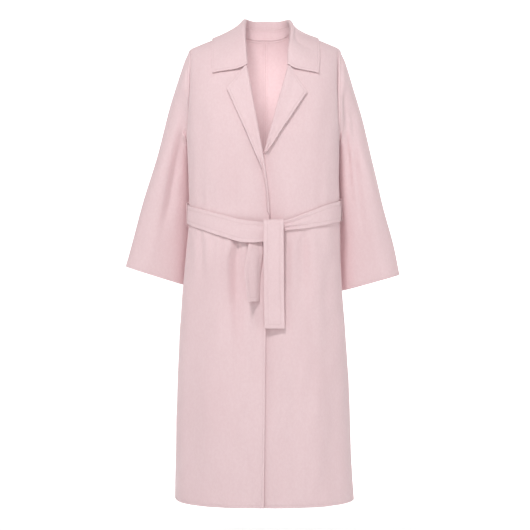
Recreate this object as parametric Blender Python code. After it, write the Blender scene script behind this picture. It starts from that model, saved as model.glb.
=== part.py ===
"""A long wrap coat with notched lapels, held closed by its own tied belt and filled out as when worn.

Metres, +Z up. The coat faces -Y and the wearer's right is -X. The origin is the middle of the neck,
level with the back neck seam. Every piece is a cloth wall of its own: a grid of points in the middle
of the wall, worked out from the sections of a general figure, given its thickness on both sides.
"""
import math
from collections import namedtuple

import bpy
import numpy as np

CLOTH = 0.0024          # double-faced wool
SEAM_GAP = 0.0003       # between sewn pieces
SLEEVE_GAP = 0.0005     # between a sleeve's start and the armhole's edge
HEM_Z = -1.172
ARMPIT_Z = -0.264
FRONT_BREAK_Z = -0.477  # where the lapel of the front on top starts to turn
UNDER_BREAK_Z = -0.318  # the same on the front underneath
FOLD_RADIUS = 0.003     # of a turned lapel or collar, in the middle of the wall
SECTION_POWER = 2.5     # squareness of a level section
CHEST_POWER = 2.0       # of the upright section over the chest
BACK_POWER = 2.5        # of the upright section over the shoulder blades
SEAM_Y = 0.005          # shoulder seam
NECK_X = 0.066
NECK_Z = 0.012
NECK_DOME = 0.045       # how far the figure rises inside the neckline
SHOULDER_X = 0.187
SHOULDER_RIGHT = 0.187
SHOULDER_LEFT = 0.183
SHOULDER_DROP = 0.045
SHOULDER_BEND = 1.1
BACK_NECK_TURN = math.radians(38.5)
UNDERLAP_DROP = 0.0050  # the front underneath lies this much deeper
LAPEL_LIFT = 0.0044     # a lapel's middle over the front's middle
LAPEL_EDGE_LIFT = 0.0062
LOOP_HALF_HEIGHT = 0.031
LOOP_OFF = 0.0072       # a belt loop's middle over the side seam, where it crosses the belt
LOOP_ENDS_OFF = 0.0027
LOOP_WIDTH = 0.010
LOOP_CLOTH = 0.0018
WOOL = (0.80, 0.60, 0.62)

Level = namedtuple("Level", "z right left front back")
LEVELS = (
    Level(HEM_Z, 0.2290, 0.2215, 0.158, 0.150),
    Level(-1.060, 0.2265, 0.2160, 0.153, 0.145),
    Level(-0.900, 0.2210, 0.2110, 0.144, 0.137),
    Level(-0.750, 0.2160, 0.2010, 0.134, 0.128),
    Level(-0.650, 0.2090, 0.1930, 0.126, 0.121),
    Level(-0.550, 0.2000, 0.1885, 0.118, 0.112),
    Level(-0.460, 0.1925, 0.1865, 0.112, 0.104),
    Level(-0.380, 0.1935, 0.1840, 0.119, 0.104),
    Level(ARMPIT_Z, 0.1985, 0.1865, 0.130, 0.112),
)

EdgePoint = namedtuple("EdgePoint", "z x")
# The turned or cut front edge, from the hem to the neckline. X is the edge that shows.
TOP_EDGE = (
    EdgePoint(HEM_Z, -0.0005),
    EdgePoint(-0.745, 0.0036),
    EdgePoint(-0.560, 0.0085),
    EdgePoint(FRONT_BREAK_Z, 0.0110),
    EdgePoint(-0.399, 0.0061),
    EdgePoint(-0.3125, -0.0061),
    EdgePoint(-0.0927, -0.0463),
)
UNDER_EDGE = (
    EdgePoint(HEM_Z, -0.042),
    EdgePoint(-0.745, -0.037),
    EdgePoint(-0.477, -0.030),
    EdgePoint(-0.380, -0.018),
    EdgePoint(UNDER_BREAK_Z, -0.0065),
    EdgePoint(-0.0927, 0.0556),
)
# The lapel's own outer edge where it lies on the front, from the break to the tip.
TOP_LAPEL = (
    EdgePoint(FRONT_BREAK_Z, 0.0060),
    EdgePoint(-0.399, 0.0012),
    EdgePoint(-0.347, -0.0085),
    EdgePoint(-0.149, -0.0940),
)
UNDER_LAPEL = (
    EdgePoint(UNDER_BREAK_Z, -0.0035),
    EdgePoint(-0.157, 0.1005),
)

# The armhole, from the armpit over the upright turn of the section to the shoulder point.
ArmholePoint = namedtuple("ArmholePoint", "turn inset")
ARMHOLE = (
    ArmholePoint(0, 0.0125),
    ArmholePoint(40, 0.0105),
    ArmholePoint(62, 0.0080),
    ArmholePoint(75, 0.0050),
    ArmholePoint(84, 0.0022),
    ArmholePoint(90, 0.0),
)

# The collar's roll line, stations from the lapel's end (0) to the centre back (1): how far inside the
# neckline it lies on each side, and how far it stands over it.
RollPoint = namedtuple("RollPoint", "station right left rise")
ROLL = (
    RollPoint(0.00, 0.0041, 0.0041, 0.0000),
    RollPoint(0.20, 0.0036, 0.0030, 0.0045),
    RollPoint(0.40, 0.0074, -0.0010, 0.0130),
    RollPoint(0.60, 0.0165, 0.0090, 0.0270),
    RollPoint(0.80, 0.0110, 0.0050, 0.0440),
    RollPoint(1.00, 0.0, 0.0, 0.0520),
)
# The collar's free edge: how far out it lies, and the turn from front (-) over the shoulder to back.
CollarEdge = namedtuple("CollarEdge", "station out turn")
COLLAR_EDGE = (
    CollarEdge(0.00, 0.1300, -53.0),
    CollarEdge(0.20, 0.1335, -38.0),
    CollarEdge(0.42, 0.1330, -15.0),
    CollarEdge(0.62, 0.1280, 12.0),
    CollarEdge(0.80, 0.0850, 38.0),
    CollarEdge(0.92, 0.0350, 46.0),
    CollarEdge(1.00, 0.0, 48.0),
)

# A sleeve: its outer and inner lines as seen from the front, its half depth and its middle.
SleeveRing = namedtuple("SleeveRing", "outer_x outer_z inner_x inner_z half_depth middle_y")
SLEEVE_RIGHT = (
    SleeveRing(0.187, -0.033, 0.1985, -0.264, 0.050, 0.004),
    SleeveRing(0.2060, -0.066, 0.2036, -0.270, 0.052, 0.010),
    SleeveRing(0.2330, -0.143, 0.2034, -0.292, 0.056, 0.024),
    SleeveRing(0.2650, -0.250, 0.1976, -0.330, 0.060, 0.046),
    SleeveRing(0.2935, -0.353, 0.1965, -0.400, 0.058, 0.054),
    SleeveRing(0.3210, -0.449, 0.1985, -0.475, 0.054, 0.056),
    SleeveRing(0.3420, -0.523, 0.2035, -0.555, 0.049, 0.056),
    SleeveRing(0.3595, -0.586, 0.2105, -0.633, 0.045, 0.055),
)
SLEEVE_LEFT = (
    SleeveRing(0.183, -0.033, 0.1865, -0.264, 0.050, 0.004),
    SleeveRing(0.2030, -0.066, 0.1914, -0.270, 0.052, 0.010),
    SleeveRing(0.2290, -0.143, 0.1910, -0.292, 0.056, 0.024),
    SleeveRing(0.2575, -0.250, 0.1866, -0.330, 0.060, 0.046),
    SleeveRing(0.2835, -0.353, 0.1860, -0.400, 0.058, 0.054),
    SleeveRing(0.3075, -0.449, 0.1915, -0.475, 0.054, 0.056),
    SleeveRing(0.3260, -0.530, 0.1945, -0.565, 0.049, 0.056),
    SleeveRing(0.3430, -0.608, 0.1985, -0.648, 0.045, 0.055),
)

# Soft folds: a trough or ridge from one point to another as seen from the front.
Fold = namedtuple("Fold", "x_top z_top x_bottom z_bottom width depth")
TOP_FOLDS = (
    Fold(-0.084, -0.520, -0.066, -0.800, 0.016, 0.0110),
    Fold(-0.118, -0.540, -0.112, -0.950, 0.030, -0.0050),
    Fold(-0.092, -0.300, -0.092, -0.440, 0.020, 0.0050),
)
UNDER_FOLDS = (
    Fold(0.094, -0.520, 0.100, -0.700, 0.020, 0.0060),
    Fold(0.150, -0.520, 0.160, -0.900, 0.034, -0.0060),
    Fold(0.108, -0.380, 0.106, -0.440, 0.012, 0.0050),
)

# The belt round the waist: side angle from the front crossing, height of its middle, width, stand-off.
BeltStation = namedtuple("BeltStation", "around z width off")
BELT_WAIST = (
    BeltStation(-3, -0.5000, 0.044, 0.0170),
    BeltStation(4, -0.5010, 0.050, 0.0165),
    BeltStation(12, -0.4985, 0.053, 0.0130),
    BeltStation(25, -0.4870, 0.052, 0.0058),
    BeltStation(45, -0.4720, 0.049, 0.0038),
    BeltStation(90, -0.4520, 0.046, 0.0038),
    BeltStation(135, -0.4400, 0.050, 0.0034),
    BeltStation(180, -0.4350, 0.050, 0.0034),
    BeltStation(225, -0.4360, 0.050, 0.0034),
    BeltStation(270, -0.4430, 0.048, 0.0038),
    BeltStation(315, -0.4600, 0.046, 0.0038),
    BeltStation(335, -0.4740, 0.036, 0.0042),
    BeltStation(348, -0.4840, 0.025, 0.0048),
    BeltStation(359, -0.4930, 0.024, 0.0050),
    BeltStation(364, -0.5000, 0.026, 0.0050),
)
# The belt's ends, each a strip: middle, width and how far its width is turned from the picture plane.
TailStation = namedtuple("TailStation", "x y z width turned")
BELT_TAIL_FRONT = (
    TailStation(0.0195, -0.1225, -0.5130, 0.0400, 0),
    TailStation(0.0195, -0.1225, -0.4950, 0.0400, 0),
    TailStation(0.0195, -0.1250, -0.4790, 0.0430, 0),
    TailStation(0.0195, -0.1310, -0.4715, 0.0460, 0),
    TailStation(0.0195, -0.1370, -0.4770, 0.0476, 0),
    TailStation(0.0195, -0.1390, -0.4950, 0.0476, 0),
    TailStation(0.0198, -0.1400, -0.5500, 0.0476, 0),
    TailStation(0.0203, -0.1415, -0.6200, 0.0476, 0),
    TailStation(0.0212, -0.1435, -0.6900, 0.0476, -1),
    TailStation(0.0222, -0.1440, -0.7360, 0.0476, -2),
)
BELT_TAIL_UNDER = (
    TailStation(-0.0225, -0.1196, -0.5138, 0.0280, 2),
    TailStation(-0.0240, -0.1240, -0.5300, 0.0330, 12),
    TailStation(-0.0275, -0.1345, -0.5600, 0.0430, 30),
    TailStation(-0.0320, -0.1410, -0.5980, 0.0470, 37),
    TailStation(-0.0310, -0.1450, -0.6350, 0.0470, 47),
    TailStation(-0.0300, -0.1500, -0.6700, 0.0450, 56),
)

SIDE_ROWS_BELOW = (14, 7)    # rows from hem to break and from break to armpit
ROWS_ABOVE = 10              # from armpit to shoulder seam, half of them to the lapel's end
FRONT_COLUMNS = 15
BACK_COLUMNS = 12
LEAF_COLUMNS = 4
ARC_COLUMNS = 4
SLEEVE_ROWS = 17
COLLAR_STATIONS = 15         # in each half


def smooth(table, at, key=0):
    """Columns of the table at the given keys, on a smooth curve through its rows."""
    rows = np.array(table, float)
    rows = rows[np.argsort(rows[:, key])]
    knots = rows[:, key]
    slopes = np.gradient(rows, knots, axis=0)
    at = np.clip(np.asarray(at, float), knots[0], knots[-1])
    cell = np.clip(np.searchsorted(knots, at, side="right") - 1, 0, len(knots) - 2)
    span = (knots[cell + 1] - knots[cell])[..., None]
    t = ((at - knots[cell])[..., None]) / span
    return (
        (2 * t**3 - 3 * t**2 + 1) * rows[cell]
        + (t**3 - 2 * t**2 + t) * span * slopes[cell]
        + (3 * t**2 - 2 * t**3) * rows[cell + 1]
        + (t**3 - t**2) * span * slopes[cell + 1]
    )


def straight(table, at):
    """X of an edge at the given heights, with straight runs between its points."""
    rows = np.array(sorted(table))
    return np.interp(at, rows[:, 0], rows[:, 1])


def ease(t):
    """Smooth step from 0 to 1."""
    t = np.clip(t, 0, 1)
    return t * t * (3 - 2 * t)


def unit(vectors):
    return vectors / np.maximum(np.linalg.norm(vectors, axis=-1, keepdims=True), 1e-12)


def shoulder_height(x):
    """Top of the figure: the shoulder seam outside the neck, a low dome inside it."""
    out = np.clip((np.abs(x) - NECK_X) / (SHOULDER_X - NECK_X), 0, 1.5)
    inside = np.clip(1 - (x / NECK_X) ** 2, 0, 1)
    return NECK_Z - SHOULDER_DROP * out**SHOULDER_BEND + NECK_DOME * inside


def figure(face, q, z, turn):
    """Points of the figure's surface. face: -1 front, 1 back. q: angle round the level section from the
    wearer's right side. turn: angle of the upright section, a right angle at and below the armpit and 0 on
    the shoulder seam."""
    sizes = smooth(LEVELS, z)
    half = np.where(np.cos(q) > 0, sizes[..., 1], sizes[..., 2])
    x = -np.sign(np.cos(q)) * np.abs(np.cos(q)) ** (2 / SECTION_POWER) * half
    reach = sizes[..., 3] if face < 0 else sizes[..., 4]
    depth = reach * np.abs(np.sin(q)) ** (2 / SECTION_POWER)
    power = CHEST_POWER if face < 0 else BACK_POWER
    rise = np.abs(np.cos(turn)) ** (2 / power)
    lean = np.abs(np.sin(turn)) ** (2 / power)
    y = face * depth * lean + SEAM_Y * (1 - lean)
    return np.stack([x, y, z + (shoulder_height(x) - z) * rise], axis=-1)


def q_at(x, z):
    """Angle round the level section at which the section reaches x."""
    sizes = smooth(LEVELS, np.minimum(z, ARMPIT_Z))
    half = np.where(np.asarray(x) < 0, sizes[..., 1], sizes[..., 2])
    share = np.clip(np.abs(x) / half, 0, 1) ** (SECTION_POWER / 2)
    angle = np.arccos(share)
    return np.where(np.asarray(x) < 0, angle, math.pi - angle)


def turn_at(face, x, z):
    """Angle of the upright section at which it reaches height z."""
    power = CHEST_POWER if face < 0 else BACK_POWER
    rise = np.clip((z - ARMPIT_Z) / (shoulder_height(x) - ARMPIT_Z), 0, 1)
    return np.arccos(rise ** (power / 2))


def face_point(face, x, z):
    """The figure's point seen at x, z from the front or the back."""
    return figure(face, q_at(x, z), np.minimum(z, ARMPIT_Z), turn_at(face, x, z))


def face_normal(face, x, z):
    step = 0.002
    across = face_point(face, x + step, z) - face_point(face, x - step, z)
    up = face_point(face, x, z + step) - face_point(face, x, z - step)
    return unit(np.cross(across, up) * -face)


def grid_normals(points, flip=1):
    """Normals of a grid of points, from its neighbours."""
    return unit(np.cross(np.gradient(points, axis=1), np.gradient(points, axis=0)) * flip)


def folds_depth(folds, x, z):
    """How far soft folds press the cloth in, as seen from the front."""
    total = np.zeros(np.broadcast(x, z).shape)
    for fold in folds:
        along = (fold.z_top - z) / (fold.z_top - fold.z_bottom)
        middle = fold.x_top + (fold.x_bottom - fold.x_top) * along
        fade = ease(along / 0.15 + 0.3) * ease((1.25 - along) / 0.7)
        total += fold.depth * fade * np.exp(-(((x - middle) / fold.width) ** 2))
    return total


def wall(name, points, normals, present=None, thickness=CLOTH, loop=False):
    """A closed cloth wall from a grid of middle points. loop joins the last column to the first."""
    rows, columns = points.shape[:2]
    if present is None:
        present = np.ones((rows, columns), bool)
    number = np.full((rows, columns), -1)
    number[present] = np.arange(present.sum())
    if loop:
        number = np.concatenate([number, number[:, :1]], axis=1)
    corners = np.stack([number[:-1, :-1], number[:-1, 1:], number[1:, 1:], number[1:, :-1]], axis=-1)
    quads = corners.reshape(-1, 4)
    quads = quads[(quads >= 0).all(axis=1)]
    middle = points[present]
    out = normals[present]
    count = len(middle)
    facing = np.cross(middle[quads[:, 1]] - middle[quads[:, 0]], middle[quads[:, 3]] - middle[quads[:, 0]])
    if (facing * out[quads[:, 0]]).sum() < 0:
        quads = quads[:, ::-1]
    sides = np.concatenate([quads[:, [k, (k + 1) % 4]] for k in range(4)])
    known = set(map(tuple, sides.tolist()))
    rim = [(b, a, a + count, b + count) for a, b in known if (b, a) not in known]
    faces = quads.tolist() + (quads[:, ::-1] + count).tolist() + sorted(rim)
    both = np.concatenate([middle + out * thickness / 2, middle - out * thickness / 2])
    mesh = bpy.data.meshes.new(name)
    mesh.from_pydata(both.tolist(), [], faces)
    mesh.shade_smooth()
    mesh.set_sharp_from_angle(angle=math.radians(40))
    piece = bpy.data.objects.new(name, mesh)
    bpy.context.scene.collection.objects.link(piece)
    piece.data.materials.append(wool(name))
    return piece


def wool(name):
    """Soft pink wool, matt."""
    material = bpy.data.materials.new(name + "_wool")
    material.use_nodes = True
    shader = material.node_tree.nodes["Principled BSDF"]
    shader.inputs["Base Color"].default_value = (*WOOL, 1)
    shader.inputs["Roughness"].default_value = 0.9
    shader.inputs["Metallic"].default_value = 0
    return material


def armhole_line(side, count):
    """q and turn of the armhole, from the armpit to the shoulder point. side: -1 right, 1 left."""
    swing = np.linspace(-math.pi / 2, math.pi / 2, count)
    turn = np.arccos((1 + np.sin(swing)) / 2)
    inset = smooth(ARMHOLE, np.degrees(turn))[..., 1]
    half = smooth(LEVELS, ARMPIT_Z)[1 if side < 0 else 2]
    shoulder = SHOULDER_RIGHT if side < 0 else SHOULDER_LEFT
    x = side * (half - inset + (shoulder - half + ARMHOLE[0].inset) * np.cos(turn) ** 2)
    return q_at(x, np.full(count, ARMPIT_Z)), turn


def coons(bottom, top, left, right):
    """Grid between four edges. bottom and top run along the columns, left and right along the rows."""
    u = np.linspace(0, 1, len(bottom))[None, :, None]
    v = np.linspace(0, 1, len(left))[:, None, None]
    edges = (1 - v) * bottom[None] + v * top[None] + (1 - u) * left[:, None] + u * right[:, None]
    corners = (
        (1 - u) * (1 - v) * bottom[0] + u * (1 - v) * bottom[-1] + (1 - u) * v * top[0] + u * v * top[-1]
    )
    return edges - corners


def neckline_front(side, start_x, count):
    """q and turn of the front neckline, from the lapel's end to the neck point."""
    t = np.linspace(0, 1, count)
    x = start_x + (side * NECK_X - start_x) * t**1.5
    start_turn = turn_at(-1, start_x, TOP_EDGE[-1].z)
    return q_at(x, np.full(count, ARMPIT_Z)), start_turn * (1 - t)


def neckline_back(side, count):
    """q and turn of half the back neckline, from the neck point to the centre back."""
    swing = np.linspace(0, math.pi / 2, count)
    x = side * NECK_X * np.cos(swing) ** 0.8
    return q_at(x, np.full(count, ARMPIT_Z)), BACK_NECK_TURN * np.sin(swing)


def shoulder_normals(points):
    """Normals along a shoulder seam, square to it and upright across it."""
    along = unit(np.gradient(points, axis=0))
    return unit(np.cross(along, np.cross([0.0, 0.0, 1.0], along)))


def back_panel(side):
    """Half of the back, from the hem to the shoulder seam and the neckline."""
    name = "back_right" if side < 0 else "back_left"
    heights = np.linspace(HEM_Z, ARMPIT_Z, sum(SIDE_ROWS_BELOW) + 1)
    start = 0.0 if side < 0 else math.pi
    spread = np.linspace(0, 1, BACK_COLUMNS + 1)
    q_low = start + (math.pi / 2 - start) * spread
    low = figure(1, q_low[None, :] + 0 * heights[:, None], heights[:, None] + 0 * q_low[None], math.pi / 2)
    arm_q, arm_turn = armhole_line(side, ROWS_ABOVE + 1)
    neck_columns = BACK_COLUMNS // 2 - 1
    neck_q, neck_turn = neckline_back(side, neck_columns + 1)
    shoulder = SHOULDER_RIGHT if side < 0 else SHOULDER_LEFT
    seam_x = np.linspace(side * shoulder, side * NECK_X, BACK_COLUMNS - neck_columns + 1)
    seam_q = q_at(seam_x, np.full(len(seam_x), ARMPIT_Z))
    seam_q[0] = arm_q[-1]
    top = np.stack([np.r_[seam_q, neck_q[1:]], np.r_[0 * seam_q, neck_turn[1:]]], axis=-1)
    bottom = np.stack([q_low, np.full(len(q_low), math.pi / 2)], axis=-1)
    left = np.stack([arm_q, arm_turn], axis=-1)
    centre_turn = math.pi / 2 + (BACK_NECK_TURN - math.pi / 2) * np.linspace(0, 1, ROWS_ABOVE + 1)
    right = np.stack([np.full(ROWS_ABOVE + 1, math.pi / 2), centre_turn], axis=-1)
    chart = coons(bottom, top, left, right)
    high = figure(1, chart[..., 0], np.full(chart.shape[:2], ARMPIT_Z), chart[..., 1])
    points = np.concatenate([low, high[1:]])
    normals = grid_normals(points)
    if normals[3, -1, 1] < 0:
        normals = -normals
    seam = len(seam_q)
    normals[-1, :seam] = shoulder_normals(points[-1, :seam] * [1, 0, 1])
    below = len(heights)
    normals[:below, 0] = unit(normals[:below, 0] * [1, 0, 1])
    normals[:, -1] = unit(normals[:, -1] * [0, 1, 1])
    points[:below, 0, 1] += SEAM_GAP / 2
    points[-1, :seam, 1] += SEAM_GAP / 2
    points[:, -1, 0] = side * SEAM_GAP / 2
    return wall(name, points, normals)


def under_drop(x, z):
    """How much deeper the front underneath lies where the front on top covers it."""
    cover = straight(TOP_EDGE, z)
    return UNDERLAP_DROP * ease((cover + 0.050 - x) / 0.045)


class Front:
    """One front: its body from hem to shoulder, and its lapel turned back over it."""

    def __init__(self, side):
        self.side = side
        self.edge, self.lapel = (TOP_EDGE, TOP_LAPEL) if side < 0 else (UNDER_EDGE, UNDER_LAPEL)
        self.folds = TOP_FOLDS if side < 0 else UNDER_FOLDS
        self.break_z = FRONT_BREAK_Z if side < 0 else UNDER_BREAK_Z
        self.inner = -side * FOLD_RADIUS  # from the body's edge to the fold's outside

    def surface(self, x, z, height):
        """Point over the figure at x, z, at a height over this front's own middle."""
        drop = under_drop(x, z) if self.side > 0 else 0 * x
        return face_point(-1, x, z) + face_normal(-1, x, z) * (height - drop)[..., None]

    def body(self):
        lower = np.linspace(HEM_Z, self.break_z, SIDE_ROWS_BELOW[0] + 1)
        upper = np.linspace(self.break_z, ARMPIT_Z, SIDE_ROWS_BELOW[1] + 1)
        heights = np.r_[lower, upper[1:]]
        start = 0.0 if self.side < 0 else math.pi
        spread = np.linspace(0, 1, FRONT_COLUMNS + 1)
        edge_x = straight(self.edge, heights) - self.inner
        q_in = q_at(edge_x, heights)
        q_low = start + (q_in[:, None] - start) * spread[None]
        z_low = heights[:, None] + 0 * q_low
        low = figure(-1, q_low, z_low, math.pi / 2)
        arm_q, arm_turn = armhole_line(self.side, ROWS_ABOVE + 1)
        half = ROWS_ABOVE // 2
        roll_z = np.linspace(ARMPIT_Z, TOP_EDGE[-1].z, half + 1)
        roll_x = straight(self.edge, roll_z) - self.inner
        neck_q, neck_turn = neckline_front(self.side, roll_x[-1], half + 1)
        right = np.stack([
            np.r_[q_at(roll_x, roll_z), neck_q[1:]],
            np.r_[turn_at(-1, roll_x, roll_z), neck_turn[1:]],
        ], axis=-1)
        shoulder = SHOULDER_RIGHT if self.side < 0 else SHOULDER_LEFT
        seam_x = np.linspace(self.side * shoulder, self.side * NECK_X, FRONT_COLUMNS + 1)
        seam_q = q_at(seam_x, np.full(len(seam_x), ARMPIT_Z))
        seam_q[0] = arm_q[-1]
        top = np.stack([seam_q, 0 * seam_q], axis=-1)
        bottom = np.stack([q_low[-1], np.full(len(spread), math.pi / 2)], axis=-1)
        chart = coons(bottom, top, np.stack([arm_q, arm_turn], axis=-1), right)
        high = figure(-1, chart[..., 0], np.full(chart.shape[:2], ARMPIT_Z), chart[..., 1])
        points = np.concatenate([low, high[1:]])
        self.break_row = SIDE_ROWS_BELOW[0]
        self.end_row = len(heights) - 1 + half
        below = len(heights)
        normals = grid_normals(points)
        if normals[3, -1, 1] > 0:
            normals = -normals
        x, z = points[..., 0], points[..., 2]
        push = folds_depth(self.folds, x, z)
        if self.side > 0:
            push = push + under_drop(x, z)
        points = points - normals * push[..., None]
        normals[-1] = shoulder_normals(points[-1] * [1, 0, 1])
        normals[:below, 0] = unit(normals[:below, 0] * [1, 0, 1])
        points[:below, 0, 1] -= SEAM_GAP / 2
        points[-1, :, 1] -= SEAM_GAP / 2
        return points, normals

    def strip(self, body):
        """The turned edge: a half round fold, then the leaf lying back over the body."""
        rows = np.arange(self.break_row, self.end_row + 1)
        share = (rows - rows[0]) / (len(rows) - 1)
        start = body[rows, -1]
        roll_x, roll_z = start[:, 0], start[:, 2]
        lapel = np.array(self.lapel)
        length = np.r_[0, np.cumsum(np.hypot(*np.diff(lapel, axis=0).T))]
        outer_z = np.interp(share * length[-1], length, lapel[:, 0])
        outer_x = np.interp(share * length[-1], length, lapel[:, 1])
        grow = ease(share / 0.10 + 0.04)
        arc = math.pi * FOLD_RADIUS
        leaf = np.hypot(outer_x - roll_x, outer_z - roll_z)
        steps = np.r_[
            np.linspace(0, arc, ARC_COLUMNS + 1)[1:, None] * np.ones_like(leaf),
            arc + np.linspace(0, 1, LEAF_COLUMNS + 1)[1:, None] * leaf,
        ].T
        far = steps * grow[:, None]
        angle = np.minimum(far / FOLD_RADIUS, math.pi)
        back = np.maximum(far - arc, 0) / np.maximum(leaf, 1e-6)[:, None]
        x = roll_x[:, None] + self.inner * np.sin(angle) + back * (outer_x - roll_x)[:, None]
        z = roll_z[:, None] + back * (outer_z - roll_z)[:, None]
        high = FOLD_RADIUS * (1 - np.cos(angle))
        high = high - (2 * FOLD_RADIUS - LAPEL_LIFT) * ease(back / 0.35)
        high = high + (LAPEL_EDGE_LIFT - LAPEL_LIFT) * ease((back - 0.5) / 0.5)
        return self.surface(x, z, high)

    def build(self):
        points, normals = self.body()
        strip = self.strip(points)
        rows = slice(self.break_row, self.end_row + 1)
        width = points.shape[1] + strip.shape[1]
        all_points = np.zeros((points.shape[0], width, 3))
        all_normals = np.zeros_like(all_points)
        present = np.zeros(all_points.shape[:2], bool)
        all_points[:, :points.shape[1]] = points
        all_normals[:, :points.shape[1]] = normals
        present[:, :points.shape[1]] = True
        joined = np.concatenate([points[rows, -2:], strip], axis=1)
        own = grid_normals(joined)
        if (own[:, 0] * normals[rows, -2]).sum() < 0:
            own = -own
        all_points[rows, points.shape[1]:] = strip
        all_normals[rows, points.shape[1]:] = own[:, 2:]
        present[rows, points.shape[1]:] = True
        return wall("front_right" if self.side < 0 else "front_left", all_points, all_normals, present)


def sleeve(side, front_loop, back_loop):
    """A tube from the armhole to the cuff. The loops run from the armpit to the shoulder point."""
    table = np.array(SLEEVE_RIGHT if side < 0 else SLEEVE_LEFT)
    loop = np.concatenate([back_loop, front_loop[::-1][1:-1]])
    count = len(loop)
    swing = -math.pi / 2 + 2 * math.pi * np.arange(count) / count
    keys = np.linspace(0, 1, len(table))
    at = np.linspace(0, 1, SLEEVE_ROWS + 1)
    rings = smooth(np.column_stack([keys, table]), at)[:, 1:]
    outer = np.stack([side * rings[:, 0], 0 * at, rings[:, 1]], axis=-1)
    inner = np.stack([side * rings[:, 2], 0 * at, rings[:, 3]], axis=-1)
    centre = (outer + inner) / 2 + np.stack([0 * at, rings[:, 5], 0 * at], axis=-1)
    reach = (outer - inner) / 2
    up = np.sign(np.sin(swing)) * np.abs(np.sin(swing)) ** 0.9
    across = np.sign(np.cos(swing)) * np.abs(np.cos(swing)) ** 0.9
    points = (
        centre[:, None]
        + reach[:, None] * up[None, :, None]
        + rings[:, 4][:, None, None] * across[None, :, None] * np.array([0, 1, 0])
    )
    settle = (1 - ease(at / 0.2))[:, None, None]
    points = points + (loop - points[0])[None] * settle
    around = unit(np.roll(loop, -1, axis=0) - np.roll(loop, 1, axis=0))
    body_normal = height_over_figure(loop)[1]
    into_hole = unit(np.cross(body_normal, around))
    into_hole *= np.sign(((loop.mean(axis=0) - loop) * into_hole).sum(axis=-1, keepdims=True))
    for _ in range(2):
        wrapped = np.concatenate([points[:, -1:], points, points[:, :1]], axis=1)
        normals = grid_normals(wrapped)[:, 1:-1]
        if ((points - centre[:, None]) * normals).sum() < 0:
            normals = -normals
        leave = unit(points[2] - points[0])
        lift = (leave * body_normal).sum(axis=-1)
        past = (leave * into_hole).sum(axis=-1)
        on_face = ease((lift - past) / 0.8 + 0.5)[:, None]
        over = SLEEVE_GAP + CLOTH / 2 * (1 + np.abs((normals[0] * body_normal).sum(axis=-1)))
        beside = SLEEVE_GAP + CLOTH / 2 * np.abs((normals[0] * into_hole).sum(axis=-1))
        start = loop + body_normal * over[:, None] * on_face + into_hole * beside[:, None] * (1 - on_face)
        points = points + (start - points[0])[None] * settle
    return wall("sleeve_right" if side < 0 else "sleeve_left", points, normals, loop=True)


def strip_wall(name, middle, across, width, columns=2, thickness=CLOTH):
    """A flat strip along a line of middle points, as wide as given across it."""
    share = np.linspace(-0.5, 0.5, columns + 1)
    points = middle[:, None] + across[:, None] * (width[:, None] * share[None])[..., None]
    return wall(name, points, grid_normals(points), thickness=thickness)


def belt_waist():
    """The belt round the waist, over the coat, its ends crossed at the front."""
    stations = np.array(BELT_WAIST)
    around = np.linspace(stations[0, 0], stations[-1, 0], 84)
    rows = smooth(BELT_WAIST, around)
    share = np.linspace(-0.5, 0.5, 4)
    z = rows[:, 1][:, None] + rows[:, 2][:, None] * share[None]
    angle = np.radians(90 - around)[:, None] + 0 * z
    turned = angle % (2 * math.pi)
    q = np.where(turned <= math.pi, turned, 2 * math.pi - turned)
    front = figure(-1, q, z, math.pi / 2)
    back = figure(1, q, z, math.pi / 2)
    points = np.where((turned <= math.pi)[..., None], front, back)
    normals = grid_normals(points)
    if normals[20, 0, 0] > 0:
        normals = -normals
    normals = unit(normals * [1, 1, 0])
    points = points + normals * rows[:, 3][:, None, None]
    return wall("belt_waist", points, normals)


def belt_tail(name, table, count):
    """A hanging end of the belt: its middle line, its width and how far the width is turned."""
    rows = np.array(table)
    length = np.r_[0, np.cumsum(np.linalg.norm(np.diff(rows[:, :3], axis=0), axis=1))]
    at = smooth(np.column_stack([length, rows]), np.linspace(0, length[-1], count))[:, 1:]
    turned = np.radians(at[:, 4])
    across = np.stack([np.cos(turned), np.sin(turned), 0 * turned], axis=-1)
    return strip_wall(name, at[:, :3], across, at[:, 3])


def belt_loop(side):
    """A carrier at the side seam: a narrow strap over the belt, held at both ends."""
    name = "belt_loop_right" if side < 0 else "belt_loop_left"
    belt_z = smooth(BELT_WAIST, np.array([90.0 if side < 0 else 270.0]))[0, 1]
    swing = np.linspace(-1, 1, 13)
    z = belt_z + LOOP_HALF_HEIGHT * swing
    half = smooth(LEVELS, z)[:, 1 if side < 0 else 2]
    rise = LOOP_ENDS_OFF + (LOOP_OFF - LOOP_ENDS_OFF) * ease((1 - np.abs(swing)) / 0.22)
    middle = np.stack([side * (half + rise), 0 * z, z], axis=-1)
    across = np.tile([0.0, 1.0, 0.0], (len(z), 1))
    width = np.full(len(z), LOOP_WIDTH)
    return strip_wall(name, middle, across, width, columns=1, thickness=LOOP_CLOTH)


def neck_path(side, start_x, count):
    """Points on the neckline of one half, from the lapel's end over the neck point to the centre back."""
    front_q, front_turn = neckline_front(side, start_x, 25)
    back_q, back_turn = neckline_back(side, 25)
    front = figure(-1, front_q, np.full(25, ARMPIT_Z), front_turn)
    back = figure(1, back_q, np.full(25, ARMPIT_Z), back_turn)
    path = np.concatenate([front, back[1:]])
    length = np.r_[0, np.cumsum(np.linalg.norm(np.diff(path, axis=0), axis=1))]
    at = np.linspace(0, length[-1], count)
    return np.stack([np.interp(at, length, path[:, k]) for k in range(3)], axis=-1)


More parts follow.
